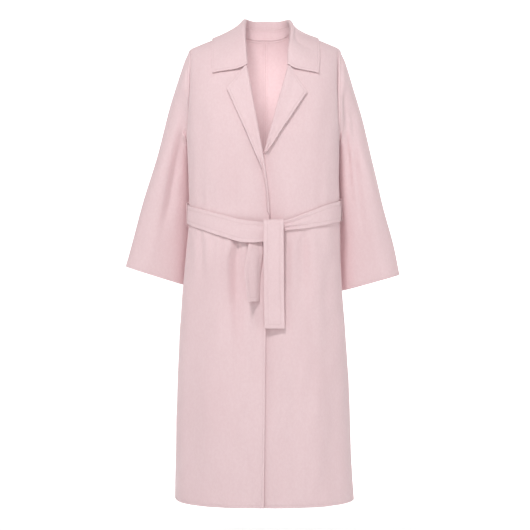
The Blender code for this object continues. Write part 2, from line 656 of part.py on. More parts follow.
def height_over_figure(points):
    """Height over the shoulders and chest, with the direction away from them. Only above the armpit."""
    def level(p):
        x, y, z = p[..., 0], p[..., 1], p[..., 2]
        sizes = smooth(LEVELS, np.full(x.shape, ARMPIT_Z))
        half = np.where(x < 0, sizes[..., 1], sizes[..., 2])
        flank = np.clip(1 - (np.abs(x) / half) ** SECTION_POWER, 1e-4, 1) ** (1 / SECTION_POWER)
        front = y < SEAM_Y
        depth = np.where(front, sizes[..., 3] * flank + SEAM_Y, sizes[..., 4] * flank - SEAM_Y)
        power = np.where(front, CHEST_POWER, BACK_POWER)
        rise = np.clip((z - ARMPIT_Z) / (shoulder_height(x) - ARMPIT_Z), 0, None)
        return (rise**power + (np.abs(y - SEAM_Y) / depth) ** power) ** (1 / power)
    step = 1e-4
    slope = np.stack([
        (level(points + step * axis) - level(points - step * axis)) / (2 * step) for axis in np.eye(3)
    ], axis=-1)
    size = np.linalg.norm(slope, axis=-1)
    return (level(points) - 1) / size, slope / size[..., None]


def collar():
    """The band and the turned-down leaf, worked out in two halves that meet at the centre back."""
    falls = []
    stands = []
    seams = []
    for side in (-1, 1):
        edge = TOP_EDGE if side < 0 else UNDER_EDGE
        start_x = edge[-1].x + side * FOLD_RADIUS
        stations = np.linspace(0, 1, COLLAR_STATIONS + 1)
        neck = neck_path(side, start_x, len(stations))
        offsets = smooth(ROLL, stations)
        inward = np.array([-side, 0.0, 0.0])
        upright = ease((stations - 0.3) / 0.3)[:, None]
        lift = unit(height_over_figure(neck)[1] * [0, 1, 1] * (1 - upright) + upright * [0, 0.08, 1])
        roll = neck + inward * offsets[:, [1 if side < 0 else 2]] + lift * offsets[:, [3]]
        along = unit(np.gradient(roll, axis=0))
        blend = ease(stations / 0.45)[:, None]
        up = unit(unit(roll - neck) * blend + inward * (1 - blend))
        up = unit(up - along * (up * along).sum(axis=-1, keepdims=True))
        out = unit(np.cross(along, up)) * side
        radius = FOLD_RADIUS + 0.001 * blend
        low = roll - up * radius
        arc_middle = low + out * radius
        edge_rows = smooth(COLLAR_EDGE, stations)
        turn = np.radians(edge_rows[:, 2])
        q = q_at(side * edge_rows[:, 1], np.full(len(turn), ARMPIT_Z))
        level = np.full(len(turn), ARMPIT_Z)
        face_front = figure(-1, q, level, np.abs(turn))
        face_back = figure(1, q, level, np.abs(turn))
        foot = np.where((turn < 0)[:, None], face_front, face_back)
        away = height_over_figure(foot)[1]
        free = foot + away * (CLOTH + 0.0022)
        arc_end = arc_middle + out * radius
        span = np.linalg.norm(free - arc_end, axis=1)[:, None]
        leave = unit(-up + np.array([0.0, 0.0, -0.9]) * (1 - ease(stations / 0.12))[:, None])
        reach = unit(free - arc_end)
        reach = unit(reach - away * (reach * away).sum(axis=-1, keepdims=True))
        ends = (1 - ease(stations / 0.15))[:, None]
        handle_a = arc_end + leave * span * (0.25 + 0.02 * ends)
        handle_b = free - reach * span * 0.33
        t = np.linspace(0, 1, 7)[1:][None, :, None]
        leaf = (
            (1 - t) ** 3 * arc_end[:, None]
            + 3 * (1 - t) ** 2 * t * handle_a[:, None]
            + 3 * (1 - t) * t**2 * handle_b[:, None]
            + t**3 * free[:, None]
        )
        for _ in range(3):
            height, away_leaf = height_over_figure(leaf)
            leaf = leaf + away_leaf * np.maximum(CLOTH + 0.0018 - height, 0)[..., None]
        sweep = np.linspace(0, math.pi, 5)[None, :, None]
        arc = arc_middle[:, None] + radius[:, None] * (
            -np.cos(sweep) * out[:, None] + np.sin(sweep) * up[:, None]
        )
        tangent = unit(np.gradient(neck, axis=0))
        into_hole = unit(np.cross(height_over_figure(neck)[1], tangent)) * side
        seat = neck
        for _ in range(2):
            own = unit(np.cross(tangent, unit(low - seat)))
            beside = SEAM_GAP + CLOTH / 2 * np.abs((own * into_hole).sum(axis=-1))
            seat = neck + into_hole * (beside + 0.0010)[:, None]
        rise = np.linalg.norm(low - seat, axis=1)
        turned_in = np.minimum(0.018, rise * (1 - 0.6 * ease((stations - 0.1) / 0.3)))
        split = low - unit(low - seat) * turned_in[:, None]
        fall = np.concatenate([split[:, None], arc, leaf], axis=1)
        fall[0] += np.array([0.0, 0.0, 0.0030])
        share = np.linspace(0, 1, 3)[None, :, None]
        stand_top = split - unit(low - seat) * 0.0009
        stand = seat[:, None] * (1 - share) + stand_top[:, None] * share
        falls.append(fall)
        stands.append(stand)
        seams.append(own * side)
    join = np.concatenate([falls[0], falls[1][::-1][1:]])
    band = np.concatenate([stands[0][3:], stands[1][::-1][1:-3]])
    seam = np.concatenate([seams[0], seams[1][::-1][1:]])
    normals = grid_normals(join)
    if normals[COLLAR_STATIONS, -2, 1] < 0:
        normals = -normals
    sign = np.sign((seam * normals[:, 0]).sum(axis=-1, keepdims=True))
    normals[:, 0] = seam * sign
    wall("collar_fall", join, normals)
    band_normals = grid_normals(band)
    if band_normals[len(band) // 2, 0, 1] < 0:
        band_normals = -band_normals
    seam = np.concatenate([seams[0][3:], seams[1][::-1][1:-3]])
    seam *= np.sign((seam * band_normals[:, 1]).sum(axis=-1, keepdims=True))
    band_normals[:] = seam[:, None]
    wall("collar_stand", band, band_normals)


def clear_scene():
    for piece in list(bpy.data.objects):
        bpy.data.objects.remove(piece, do_unlink=True)


def build():
    clear_scene()
    for side in (-1, 1):
        back_panel(side)
        Front(side).build()
        arm_q, arm_turn = armhole_line(side, ROWS_ABOVE + 1)
        level = np.full(len(arm_q), ARMPIT_Z)
        sleeve(side, figure(-1, arm_q, level, arm_turn), figure(1, arm_q, level, arm_turn))
        belt_loop(side)
    collar()
    belt_waist()
    belt_tail("belt_tail_front", BELT_TAIL_FRONT, 26)
    belt_tail("belt_tail_under", BELT_TAIL_UNDER, 14)


build()
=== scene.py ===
"""A long wrap coat of soft pink double-faced wool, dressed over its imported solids.

Every piece of cloth is a grid of points in the middle of a thin wall, worked out as whole numpy arrays
from the level and upright sections of a general figure. Metres, +Z up; the coat faces -Y, the wearer's
right is -X, and the origin is the middle of the neck, level with the back neck seam.
"""
from __future__ import annotations

import logging
import math
from dataclasses import dataclass, field
from enum import Enum, IntEnum
from typing import Optional, Sequence

import bpy
import numpy as np
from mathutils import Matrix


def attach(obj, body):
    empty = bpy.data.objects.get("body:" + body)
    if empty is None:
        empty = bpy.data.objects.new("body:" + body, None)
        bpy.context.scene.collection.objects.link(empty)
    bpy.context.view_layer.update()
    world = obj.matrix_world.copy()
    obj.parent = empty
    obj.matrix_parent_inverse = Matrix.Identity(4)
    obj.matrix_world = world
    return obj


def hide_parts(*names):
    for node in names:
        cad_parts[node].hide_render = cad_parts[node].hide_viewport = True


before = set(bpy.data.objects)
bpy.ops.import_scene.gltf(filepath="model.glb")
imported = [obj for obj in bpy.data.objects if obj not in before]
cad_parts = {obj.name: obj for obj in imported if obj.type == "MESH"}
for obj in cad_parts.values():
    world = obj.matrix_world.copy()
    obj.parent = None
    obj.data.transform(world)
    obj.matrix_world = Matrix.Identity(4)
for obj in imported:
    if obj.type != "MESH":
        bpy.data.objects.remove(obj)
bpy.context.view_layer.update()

LOG = logging.getLogger("coat")
Array = np.ndarray
Rows = tuple[tuple[float, ...], ...]

CLOTH = 0.0024            # thickness of the double-faced wool
LOOP_CLOTH = 0.0018       # thickness of the belt loops
EDGE_INSET = 0.00115      # a wall's rounded edge takes up this much of its panel
STRIP_INSET = 0.0002      # the same for the belt's narrow strips
RIM_TURNS = (50, 17, -17, -50)   # turns of a rim's points round its half circle, in degrees
FAR_FROM_EDGE = 0.05      # edge distance of a part that has no open edge
SEAM_CALM = 0.040         # width of the calm cloth beside a side seam
SHOULDER_CALM = 0.06      # share of a panel's rows that is calm below the shoulder
ROOT = "root"


class Side(IntEnum):
    """The wearer's side; its number is the sign of X."""

    RIGHT = -1
    LEFT = 1

    @property
    def word(self) -> str:
        """The side as the CAD nodes' names spell it."""
        return "right" if self is Side.RIGHT else "left"


class Face(IntEnum):
    """Front or back of the figure; its number is the sign of Y."""

    FRONT = -1
    BACK = 1


class Hold(Enum):
    HUNG = "hung"
    FOLDED = "folded"
    STRETCHED = "stretched"


# --------------------------------------------------------------------------------------------------
# Small array tools


def smooth(table: Rows | Array, at: Array, key: int = 0) -> Array:
    """Reads a table on a smooth curve: a cubic between each two rows, with each row's slope taken
    from its neighbours.

    Args:
        table: rows of numbers.
        at: the keys to read at.
        key: the column that holds the keys.

    Returns:
        One row of columns for each key.
    """
    rows = np.array(table, float)
    rows = rows[np.argsort(rows[:, key])]
    knots = rows[:, key]
    slopes = np.gradient(rows, knots, axis=0)
    at = np.clip(np.asarray(at, float), knots[0], knots[-1])
    cell = np.clip(np.searchsorted(knots, at, side="right") - 1, 0, len(knots) - 2)
    span = (knots[cell + 1] - knots[cell])[..., None]
    t = ((at - knots[cell])[..., None]) / span
    return (
        (2 * t**3 - 3 * t**2 + 1) * rows[cell]
        + (t**3 - 2 * t**2 + t) * span * slopes[cell]
        + (3 * t**2 - 2 * t**3) * rows[cell + 1]
        + (t**3 - t**2) * span * slopes[cell + 1]
    )


def straight(table: Rows, at: Array) -> Array:
    """X of an edge at the given heights, with straight runs between its (z, x) points."""
    rows = np.array(sorted(table))
    return np.interp(at, rows[:, 0], rows[:, 1])


def ease(t: Array | float) -> Array:
    """The smooth step 3t^2 - 2t^3, held at 0 and 1 outside its range."""
    t = np.clip(t, 0, 1)
    return t * t * (3 - 2 * t)


def unit(vectors: Array) -> Array:
    """The vectors at length 1."""
    return vectors / np.maximum(np.linalg.norm(vectors, axis=-1, keepdims=True), 1e-12)


def grid_normals(points: Array) -> Array:
    """Normals of a grid of points: the cross product of its two central differences."""
    return unit(np.cross(np.gradient(points, axis=1), np.gradient(points, axis=0)))


def normals_facing(points: Array, row: int, column: int, towards: Sequence[float]) -> Array:
    """Normals of a grid, all turned round if the one at the row and column points away from towards."""
    normals = grid_normals(points)
    return -normals if normals[row, column] @ np.array(towards, float) < 0 else normals


def normals_like(points: Array, guide: Array) -> Array:
    """Normals of a grid, each on the same side as its guide."""
    own = grid_normals(points)
    return own * np.sign((own * guide).sum(axis=-1, keepdims=True))


def path_length(path: Array) -> Array:
    """Length along a path from its first point to each point."""
    return np.r_[0, np.cumsum(np.linalg.norm(np.diff(path, axis=0), axis=1))]


def coons(bottom: Array, top: Array, left: Array, right: Array) -> Array:
    """Fills a grid between four edges: the two ruled surfaces added, less the corners' bilinear one."""
    u = np.linspace(0, 1, len(bottom))[None, :, None]
    v = np.linspace(0, 1, len(left))[:, None, None]
    ruled = (1 - v) * bottom[None] + v * top[None] + (1 - u) * left[:, None] + u * right[:, None]
    corners = (
        (1 - u) * (1 - v) * bottom[0] + u * (1 - v) * bottom[-1] + (1 - u) * v * top[0] + u * v * top[-1]
    )
    return ruled - corners


def edge_distance(points: Array, starts: Array, ends: Array, batch: int = 1500) -> Array:
    """Distance of each point to the nearest of the segments, each clamped to its two ends."""
    run = ends - starts
    size = np.maximum((run**2).sum(axis=-1), 1e-12)
    nearest = np.empty(len(points))
    for first in range(0, len(points), batch):
        offset = points[first:first + batch, None] - starts[None]
        share = np.clip((offset * run).sum(axis=-1) / size, 0, 1)
        gap = offset - share[..., None] * run
        nearest[first:first + batch] = np.sqrt((gap**2).sum(axis=-1)).min(axis=1)
    return nearest


# --------------------------------------------------------------------------------------------------
# The figure that the coat is filled out by


@dataclass(frozen=True)
class Figure:
    """A general figure: level sections up to the armpit, then upright sections over the shoulders.

    A level section is a superellipse, |x/a|^p + |y/b|^p = 1, whose half width a differs on each side
    and whose half depth b differs front and back. Above the armpit each of its points turns over an
    upright superellipse up to the shoulder line.
    """

    levels: Rows = (
        # z, right, left, front, back
        (-1.172, 0.2290, 0.2215, 0.158, 0.150),
        (-1.060, 0.2265, 0.2160, 0.153, 0.145),
        (-0.900, 0.2210, 0.2110, 0.144, 0.137),
        (-0.750, 0.2160, 0.2010, 0.134, 0.128),
        (-0.650, 0.2090, 0.1930, 0.126, 0.121),
        (-0.550, 0.2000, 0.1885, 0.118, 0.112),
        (-0.460, 0.1925, 0.1865, 0.112, 0.104),
        (-0.380, 0.1935, 0.1840, 0.119, 0.104),
        (-0.264, 0.1985, 0.1865, 0.130, 0.112),
    )
    armhole: Rows = (
        # turn of the upright section in degrees, inset from the side
        (0, 0.0125),
        (40, 0.0105),
        (62, 0.0080),
        (75, 0.0050),
        (84, 0.0022),
        (90, 0.0),
    )
    hem_z: float = -1.172
    armpit_z: float = -0.264
    power: float = 2.5
    chest_power: float = 2.0
    back_power: float = 2.5
    seam_y: float = 0.005
    neck_x: float = 0.066
    neck_z: float = 0.012
    neck_dome: float = 0.045
    shoulder_x: float = 0.187
    shoulder_left_x: float = 0.183
    shoulder_drop: float = 0.045
    shoulder_bend: float = 1.1
    back_neck_turn: float = math.radians(38.5)

    def shoulder_end(self, side: Side) -> float:
        """How far out the shoulder seam ends."""
        return self.shoulder_x if side is Side.RIGHT else self.shoulder_left_x

    def shoulder_height(self, x: Array) -> Array:
        """Top of the figure: neck_z less drop times a power of the way out, plus a low dome x^2 inside
        the neckline."""
        out = np.clip((np.abs(x) - self.neck_x) / (self.shoulder_x - self.neck_x), 0, 1.5)
        inside = np.clip(1 - (x / self.neck_x) ** 2, 0, 1)
        return self.neck_z - self.shoulder_drop * out**self.shoulder_bend + self.neck_dome * inside

    def point(self, face: Face, q: Array, z: Array, turn: Array | float) -> Array:
        """Points of the surface.

        Args:
            face: front or back.
            q: angle round the level section, from the wearer's right side.
            z: height of the level section, at most the armpit's.
            turn: angle of the upright section, a right angle at and below the armpit, 0 on the seam.

        Returns:
            The points, with the shape of q and z and a last axis of 3.
        """
        sizes = smooth(self.levels, z)
        half = np.where(np.cos(q) > 0, sizes[..., 1], sizes[..., 2])
        x = -np.sign(np.cos(q)) * np.abs(np.cos(q)) ** (2 / self.power) * half
        reach = sizes[..., 3] if face is Face.FRONT else sizes[..., 4]
        depth = reach * np.abs(np.sin(q)) ** (2 / self.power)
        power = self.chest_power if face is Face.FRONT else self.back_power
        rise = np.abs(np.cos(turn)) ** (2 / power)
        lean = np.abs(np.sin(turn)) ** (2 / power)
        y = int(face) * depth * lean + self.seam_y * (1 - lean)
        return np.stack([x, y + 0 * x, z + (self.shoulder_height(x) - z) * rise], axis=-1)

    def q_at(self, x: Array | float, z: Array | float) -> Array:
        """Angle round the level section at which it reaches x."""
        sizes = smooth(self.levels, np.minimum(z, self.armpit_z))
        half = np.where(np.asarray(x) < 0, sizes[..., 1], sizes[..., 2])
        angle = np.arccos(np.clip(np.abs(x) / half, 0, 1) ** (self.power / 2))
        return np.where(np.asarray(x) < 0, angle, math.pi - angle)

    def turn_at(self, face: Face, x: Array, z: Array) -> Array:
        """Angle of the upright section at which it reaches height z."""
        power = self.chest_power if face is Face.FRONT else self.back_power
        rise = np.clip((z - self.armpit_z) / (self.shoulder_height(x) - self.armpit_z), 0, 1)
        return np.arccos(rise ** (power / 2))

    def seen(self, face: Face, x: Array, z: Array) -> Array:
        """The surface point that lies at x, z as seen from the front or the back."""
        level = np.minimum(z, self.armpit_z)
        return self.point(face, self.q_at(x, z), level, self.turn_at(face, x, z))

    def seen_normal(self, face: Face, x: Array, z: Array, step: float = 0.002) -> Array:
        """Outward normal at x, z, from central differences."""
        across = self.seen(face, x + step, z) - self.seen(face, x - step, z)
        up = self.seen(face, x, z + step) - self.seen(face, x, z - step)
        return unit(np.cross(across, up) * -int(face))

    def armhole_line(self, side: Side, count: int) -> tuple[Array, Array]:
        """q and turn along the armhole, from the armpit to the shoulder point."""
        swing = np.linspace(-math.pi / 2, math.pi / 2, count)
        turn = np.arccos((1 + np.sin(swing)) / 2)
        inset = smooth(self.armhole, np.degrees(turn))[..., 1]
        half = smooth(self.levels, self.armpit_z)[1 if side is Side.RIGHT else 2]
        lean_in = (self.shoulder_end(side) - half + self.armhole[0][1]) * np.cos(turn) ** 2
        x = int(side) * (half - inset + lean_in)
        return self.q_at(x, np.full(count, self.armpit_z)), turn

    def armhole_loop(self, side: Side, count: int) -> Array:
        """The whole armhole: up the back from the armpit, and down the front."""
        q, turn = self.armhole_line(side, count)
        level = np.full(count, self.armpit_z)
        back = self.point(Face.BACK, q, level, turn)
        front = self.point(Face.FRONT, q, level, turn)
        return np.concatenate([back, front[::-1][1:-1]])

    def neckline_front(self, side: Side, start_x: float, start_z: float, count: int) -> tuple[Array, Array]:
        """q and turn of the front neckline, from the lapel's end to the neck point."""
        t = np.linspace(0, 1, count)
        x = start_x + (int(side) * self.neck_x - start_x) * t**1.5
        start_turn = self.turn_at(Face.FRONT, np.array(start_x), np.array(start_z))
        return self.q_at(x, np.full(count, self.armpit_z)), start_turn * (1 - t)

    def neckline_back(self, side: Side, count: int) -> tuple[Array, Array]:
        """q and turn of half the back neckline, from the neck point to the centre back."""
        swing = np.linspace(0, math.pi / 2, count)
        x = int(side) * self.neck_x * np.cos(swing) ** 0.8
        return self.q_at(x, np.full(count, self.armpit_z)), self.back_neck_turn * np.sin(swing)

    def neck_path(self, side: Side, start_x: float, start_z: float, count: int) -> Array:
        """Points on the neckline of one half, evenly spaced, from the lapel's end to the centre back."""
        fine = 160
        front_q, front_turn = self.neckline_front(side, start_x, start_z, fine)
        back_q, back_turn = self.neckline_back(side, fine)
        level = np.full(fine, self.armpit_z)
        path = np.concatenate([
            self.point(Face.FRONT, front_q, level, front_turn),
            self.point(Face.BACK, back_q, level, back_turn)[1:],
        ])
        length = path_length(path)
        at = np.linspace(0, length[-1], count)
        return np.stack([np.interp(at, length, path[:, k]) for k in range(3)], axis=-1)

    def height_over(self, points: Array) -> tuple[Array, Array]:
        """Height over the shoulders and chest, above the armpit only.

        The surface is where a level function of the point is 1: the sum of the powers of the rise to
        the shoulder line and of the depth. Height is (level - 1) over the length of its gradient.

        Returns:
            The heights, and the directions away from the figure.
        """
        def level(p: Array) -> Array:
            """The level function at the points p."""
            x, y, z = p[..., 0], p[..., 1], p[..., 2]
            sizes = smooth(self.levels, np.full(x.shape, self.armpit_z))
            half = np.where(x < 0, sizes[..., 1], sizes[..., 2])
            flank = np.clip(1 - (np.abs(x) / half) ** self.power, 1e-4, 1) ** (1 / self.power)
            front = y < self.seam_y
            reach = np.where(front, sizes[..., 3] * flank + self.seam_y, sizes[..., 4] * flank - self.seam_y)
            reach = np.maximum(reach, 0.004)
            power = np.where(front, self.chest_power, self.back_power)
            rise = np.clip((z - self.armpit_z) / (self.shoulder_height(x) - self.armpit_z), 0, None)
            return (rise**power + (np.abs(y - self.seam_y) / reach) ** power) ** (1 / power)

        step = 1e-4
        slope = np.stack(
            [(level(points + step * a) - level(points - step * a)) / (2 * step) for a in np.eye(3)], axis=-1
        )
        size = np.linalg.norm(slope, axis=-1)
        return (level(points) - 1) / size, slope / size[..., None]


FIGURE = Figure()


# --------------------------------------------------------------------------------------------------
# Folds and unevenness


@dataclass(frozen=True)
class Crease:
    """A soft trough, or a ridge where its depth is negative, along a line seen from the front.

    Its depth is a bell curve exp(-(d/w)^2) of the distance d from the line, one flank wider than the
    other, faded in and out along its length by a smooth step.
    """

    line: Rows               # x, z from the top down, or from right to left if level
    width: float
    depth: float
    lean: float = 1.0        # the +X (or upper) flank's width over the other's
    level: bool = False
    fade: tuple[float, float] = (0.3, 0.4)   # share of its length at the low and the high end

    def at(self, x: Array, z: Array) -> Array:
        """Depth at points x, z of the picture plane."""
        line = np.array(self.line, float)
        key, other = (0, 1) if self.level else (1, 0)
        along, across = (x, z) if self.level else (z, x)
        middle = smooth(line[:, [key, other]], along)[..., 1]
        low, high = line[:, key].min(), line[:, key].max()
        share = (along - low) / (high - low)
        here = ease(share / self.fade[0]) * ease((1 - share) / self.fade[1])
        offset = across - middle
        flank = self.width * np.where(offset > 0, self.lean, 1.0)
        return self.depth * here * np.exp(-((offset / flank) ** 2))


@dataclass(frozen=True)
class Unevenness:
    """Slow waves that no hung cloth is without: a sum of sines of seeded directions and phases."""

    seed: int
    wave: float              # typical wavelength across
    height: float
    upright: float = 2.5     # how much longer the waves are down the cloth than across it
    count: int = 10

    def at(self, u: Array, v: Array) -> Array:
        """Height at u across and v down the cloth, both in metres."""
        dice = np.random.default_rng(self.seed)
        angle = dice.uniform(0, 2 * math.pi, self.count)
        size = self.wave * dice.uniform(0.6, 1.7, self.count)
        phase = dice.uniform(0, 2 * math.pi, self.count)
        total = np.zeros(np.broadcast(u, v).shape)
        for a, s, p in zip(angle, size, phase):
            total += np.sin(2 * math.pi * (math.cos(a) * u / s + math.sin(a) * v / (s * self.upright)) + p)
        return self.height * total * math.sqrt(2 / self.count)


# --------------------------------------------------------------------------------------------------
# Finishes


@dataclass(frozen=True)
class WoolFinish:
    """Soft double-faced wool: a short brushed nap, faint mottling, and a felled line along its edges."""

    name: str = "pink_wool"
    base: tuple[float, float, float] = (0.790, 0.592, 0.610)
    light: tuple[float, float, float] = (0.830, 0.645, 0.662)
    deep: tuple[float, float, float] = (0.725, 0.508, 0.528)
    roughness: float = 0.92
    sheen: float = 0.28
    sheen_roughness: float = 0.45
    fibre_scale: float = 620.0
    pill_scale: float = 190.0
    cloud_scale: float = 11.0
    fell_at: float = 0.0046      # distance of the felled line from the edge
    fell_width: float = 0.0011
    fell_depth: float = 0.30
    sheen_tint: tuple[float, float, float] = (1.0, 0.93, 0.93)
    specular: float = 0.25
    nap_strength: float = 0.55
    nap_height: float = 0.0011

    def material(self) -> bpy.types.Material:
        """The finish as a node material on Object coordinates and the pieces' own edge attribute."""
        made = bpy.data.materials.get(self.name)
        if made:
            return made
        made = bpy.data.materials.new(self.name)
        made.use_nodes = True
        tree = made.node_tree
        nodes, link = tree.nodes, tree.links.new
        shader = nodes["Principled BSDF"]
        shader.inputs["Roughness"].default_value = self.roughness
        shader.inputs["Sheen Weight"].default_value = self.sheen
        shader.inputs["Sheen Roughness"].default_value = self.sheen_roughness
        shader.inputs["Sheen Tint"].default_value = (*self.sheen_tint, 1)
        shader.inputs["Specular IOR Level"].default_value = self.specular
        where = nodes.new("ShaderNodeTexCoord")

        def noise(scale: float, detail: float, stretch: Sequence[float]) -> bpy.types.NodeSocket:
            """A noise on the stretched Object coordinates; returns its value."""
            mapping = nodes.new("ShaderNodeMapping")
            mapping.inputs["Scale"].default_value = stretch
            link(where.outputs["Object"], mapping.inputs["Vector"])
            texture = nodes.new("ShaderNodeTexNoise")
            texture.inputs["Scale"].default_value = scale
            texture.inputs["Detail"].default_value = detail
            texture.inputs["Roughness"].default_value = 0.6
            link(mapping.outputs["Vector"], texture.inputs["Vector"])
            return texture.outputs["Fac"]

        def ramp(
            source: bpy.types.NodeSocket, low: float, high: float, to: tuple[float, float]
        ) -> bpy.types.NodeSocket:
            """Maps low to high smoothly onto the two values of to."""
            node = nodes.new("ShaderNodeMapRange")
            node.interpolation_type = "SMOOTHSTEP"
            node.inputs["From Min"].default_value = low
            node.inputs["From Max"].default_value = high
            node.inputs["To Min"].default_value = to[0]
            node.inputs["To Max"].default_value = to[1]
            link(source, node.inputs["Value"])
            return node.outputs["Result"]

        def math_node(
            kind: str, a: bpy.types.NodeSocket, b: bpy.types.NodeSocket | float
        ) -> bpy.types.NodeSocket:
            """One Math node."""
            node = nodes.new("ShaderNodeMath")
            node.operation = kind
            link(a, node.inputs[0])
            if isinstance(b, float):
                node.inputs[1].default_value = b
            else:
                link(b, node.inputs[1])
            return node.outputs["Value"]

        def mix(
            share: bpy.types.NodeSocket, a: Sequence[float] | bpy.types.NodeSocket, b: Sequence[float]
        ) -> bpy.types.NodeSocket:
            """Mixes two colours."""
            node = nodes.new("ShaderNodeMix")
            node.data_type = "RGBA"
            link(share, node.inputs["Factor"])
            if isinstance(a, tuple):
                node.inputs[6].default_value = (*a, 1)
            else:
                link(a, node.inputs[6])
            node.inputs[7].default_value = (*b, 1)
            return node.outputs[2]

        fibres = noise(self.fibre_scale, 3.0, (1.0, 1.0, 0.35))
        pills = noise(self.pill_scale, 4.0, (1.0, 1.0, 0.7))
        clouds = noise(self.cloud_scale, 3.0, (1.0, 1.0, 0.5))
        edge = nodes.new("ShaderNodeAttribute")
        edge.attribute_name = "edge"
        off_line = math_node("ABSOLUTE", math_node("SUBTRACT", edge.outputs["Fac"], self.fell_at), 0.0)
        fell = ramp(off_line, 0.0, self.fell_width, (1.0, 0.0))

        colour = mix(ramp(pills, 0.35, 0.68, (0.0, 0.55)), self.base, self.light)
        colour = mix(ramp(clouds, 0.35, 0.75, (0.0, 0.22)), colour, self.deep)
        colour = mix(math_node("MULTIPLY", fell, self.fell_depth), colour, self.deep)
        link(colour, shader.inputs["Base Color"])

        nap = math_node("ADD", math_node("MULTIPLY", fibres, 0.5), math_node("MULTIPLY", pills, 0.5))
        height = math_node("SUBTRACT", nap, math_node("MULTIPLY", fell, 0.9))
        bump = nodes.new("ShaderNodeBump")
        bump.inputs["Strength"].default_value = self.nap_strength
        bump.inputs["Distance"].default_value = self.nap_height
        link(height, bump.inputs["Height"])
        link(bump.outputs["Normal"], shader.inputs["Normal"])
        return made


@dataclass(frozen=True)
class PlainFinish:
    """A plain matt surface of the studio, with a light of its own that grows towards the back."""

    name: str
    colour: tuple[float, float, float]
    glow: float
    glow_from: float = 0.5       # Y where the glow starts
    glow_full: float = 1.6       # Y from which it is full

    def material(self) -> bpy.types.Material:
        """The finish as a material."""
        made = bpy.data.materials.new(self.name)
        made.use_nodes = True
        shader = made.node_tree.nodes["Principled BSDF"]
        shader.inputs["Base Color"].default_value = (*self.colour, 1)
        shader.inputs["Roughness"].default_value = 0.9
        shader.inputs["Specular IOR Level"].default_value = 0.1
        shader.inputs["Emission Color"].default_value = (1, 1, 1, 1)
        nodes, link = made.node_tree.nodes, made.node_tree.links.new
        where = nodes.new("ShaderNodeTexCoord")
        split = nodes.new("ShaderNodeSeparateXYZ")
        grow = nodes.new("ShaderNodeMapRange")
        grow.inputs["From Min"].default_value = self.glow_from
        grow.inputs["From Max"].default_value = self.glow_full
        grow.inputs["To Max"].default_value = self.glow
        link(where.outputs["Object"], split.inputs["Vector"])
        link(split.outputs["Y"], grow.inputs["Value"])
        link(grow.outputs["Result"], shader.inputs["Emission Strength"])
        return made


COAT_WOOL = WoolFinish()
BELT_WOOL = WoolFinish(name="belt_pink_wool", fell_at=0.0085, fell_width=0.0012, fell_depth=0.30)


# --------------------------------------------------------------------------------------------------
# Cloth walls


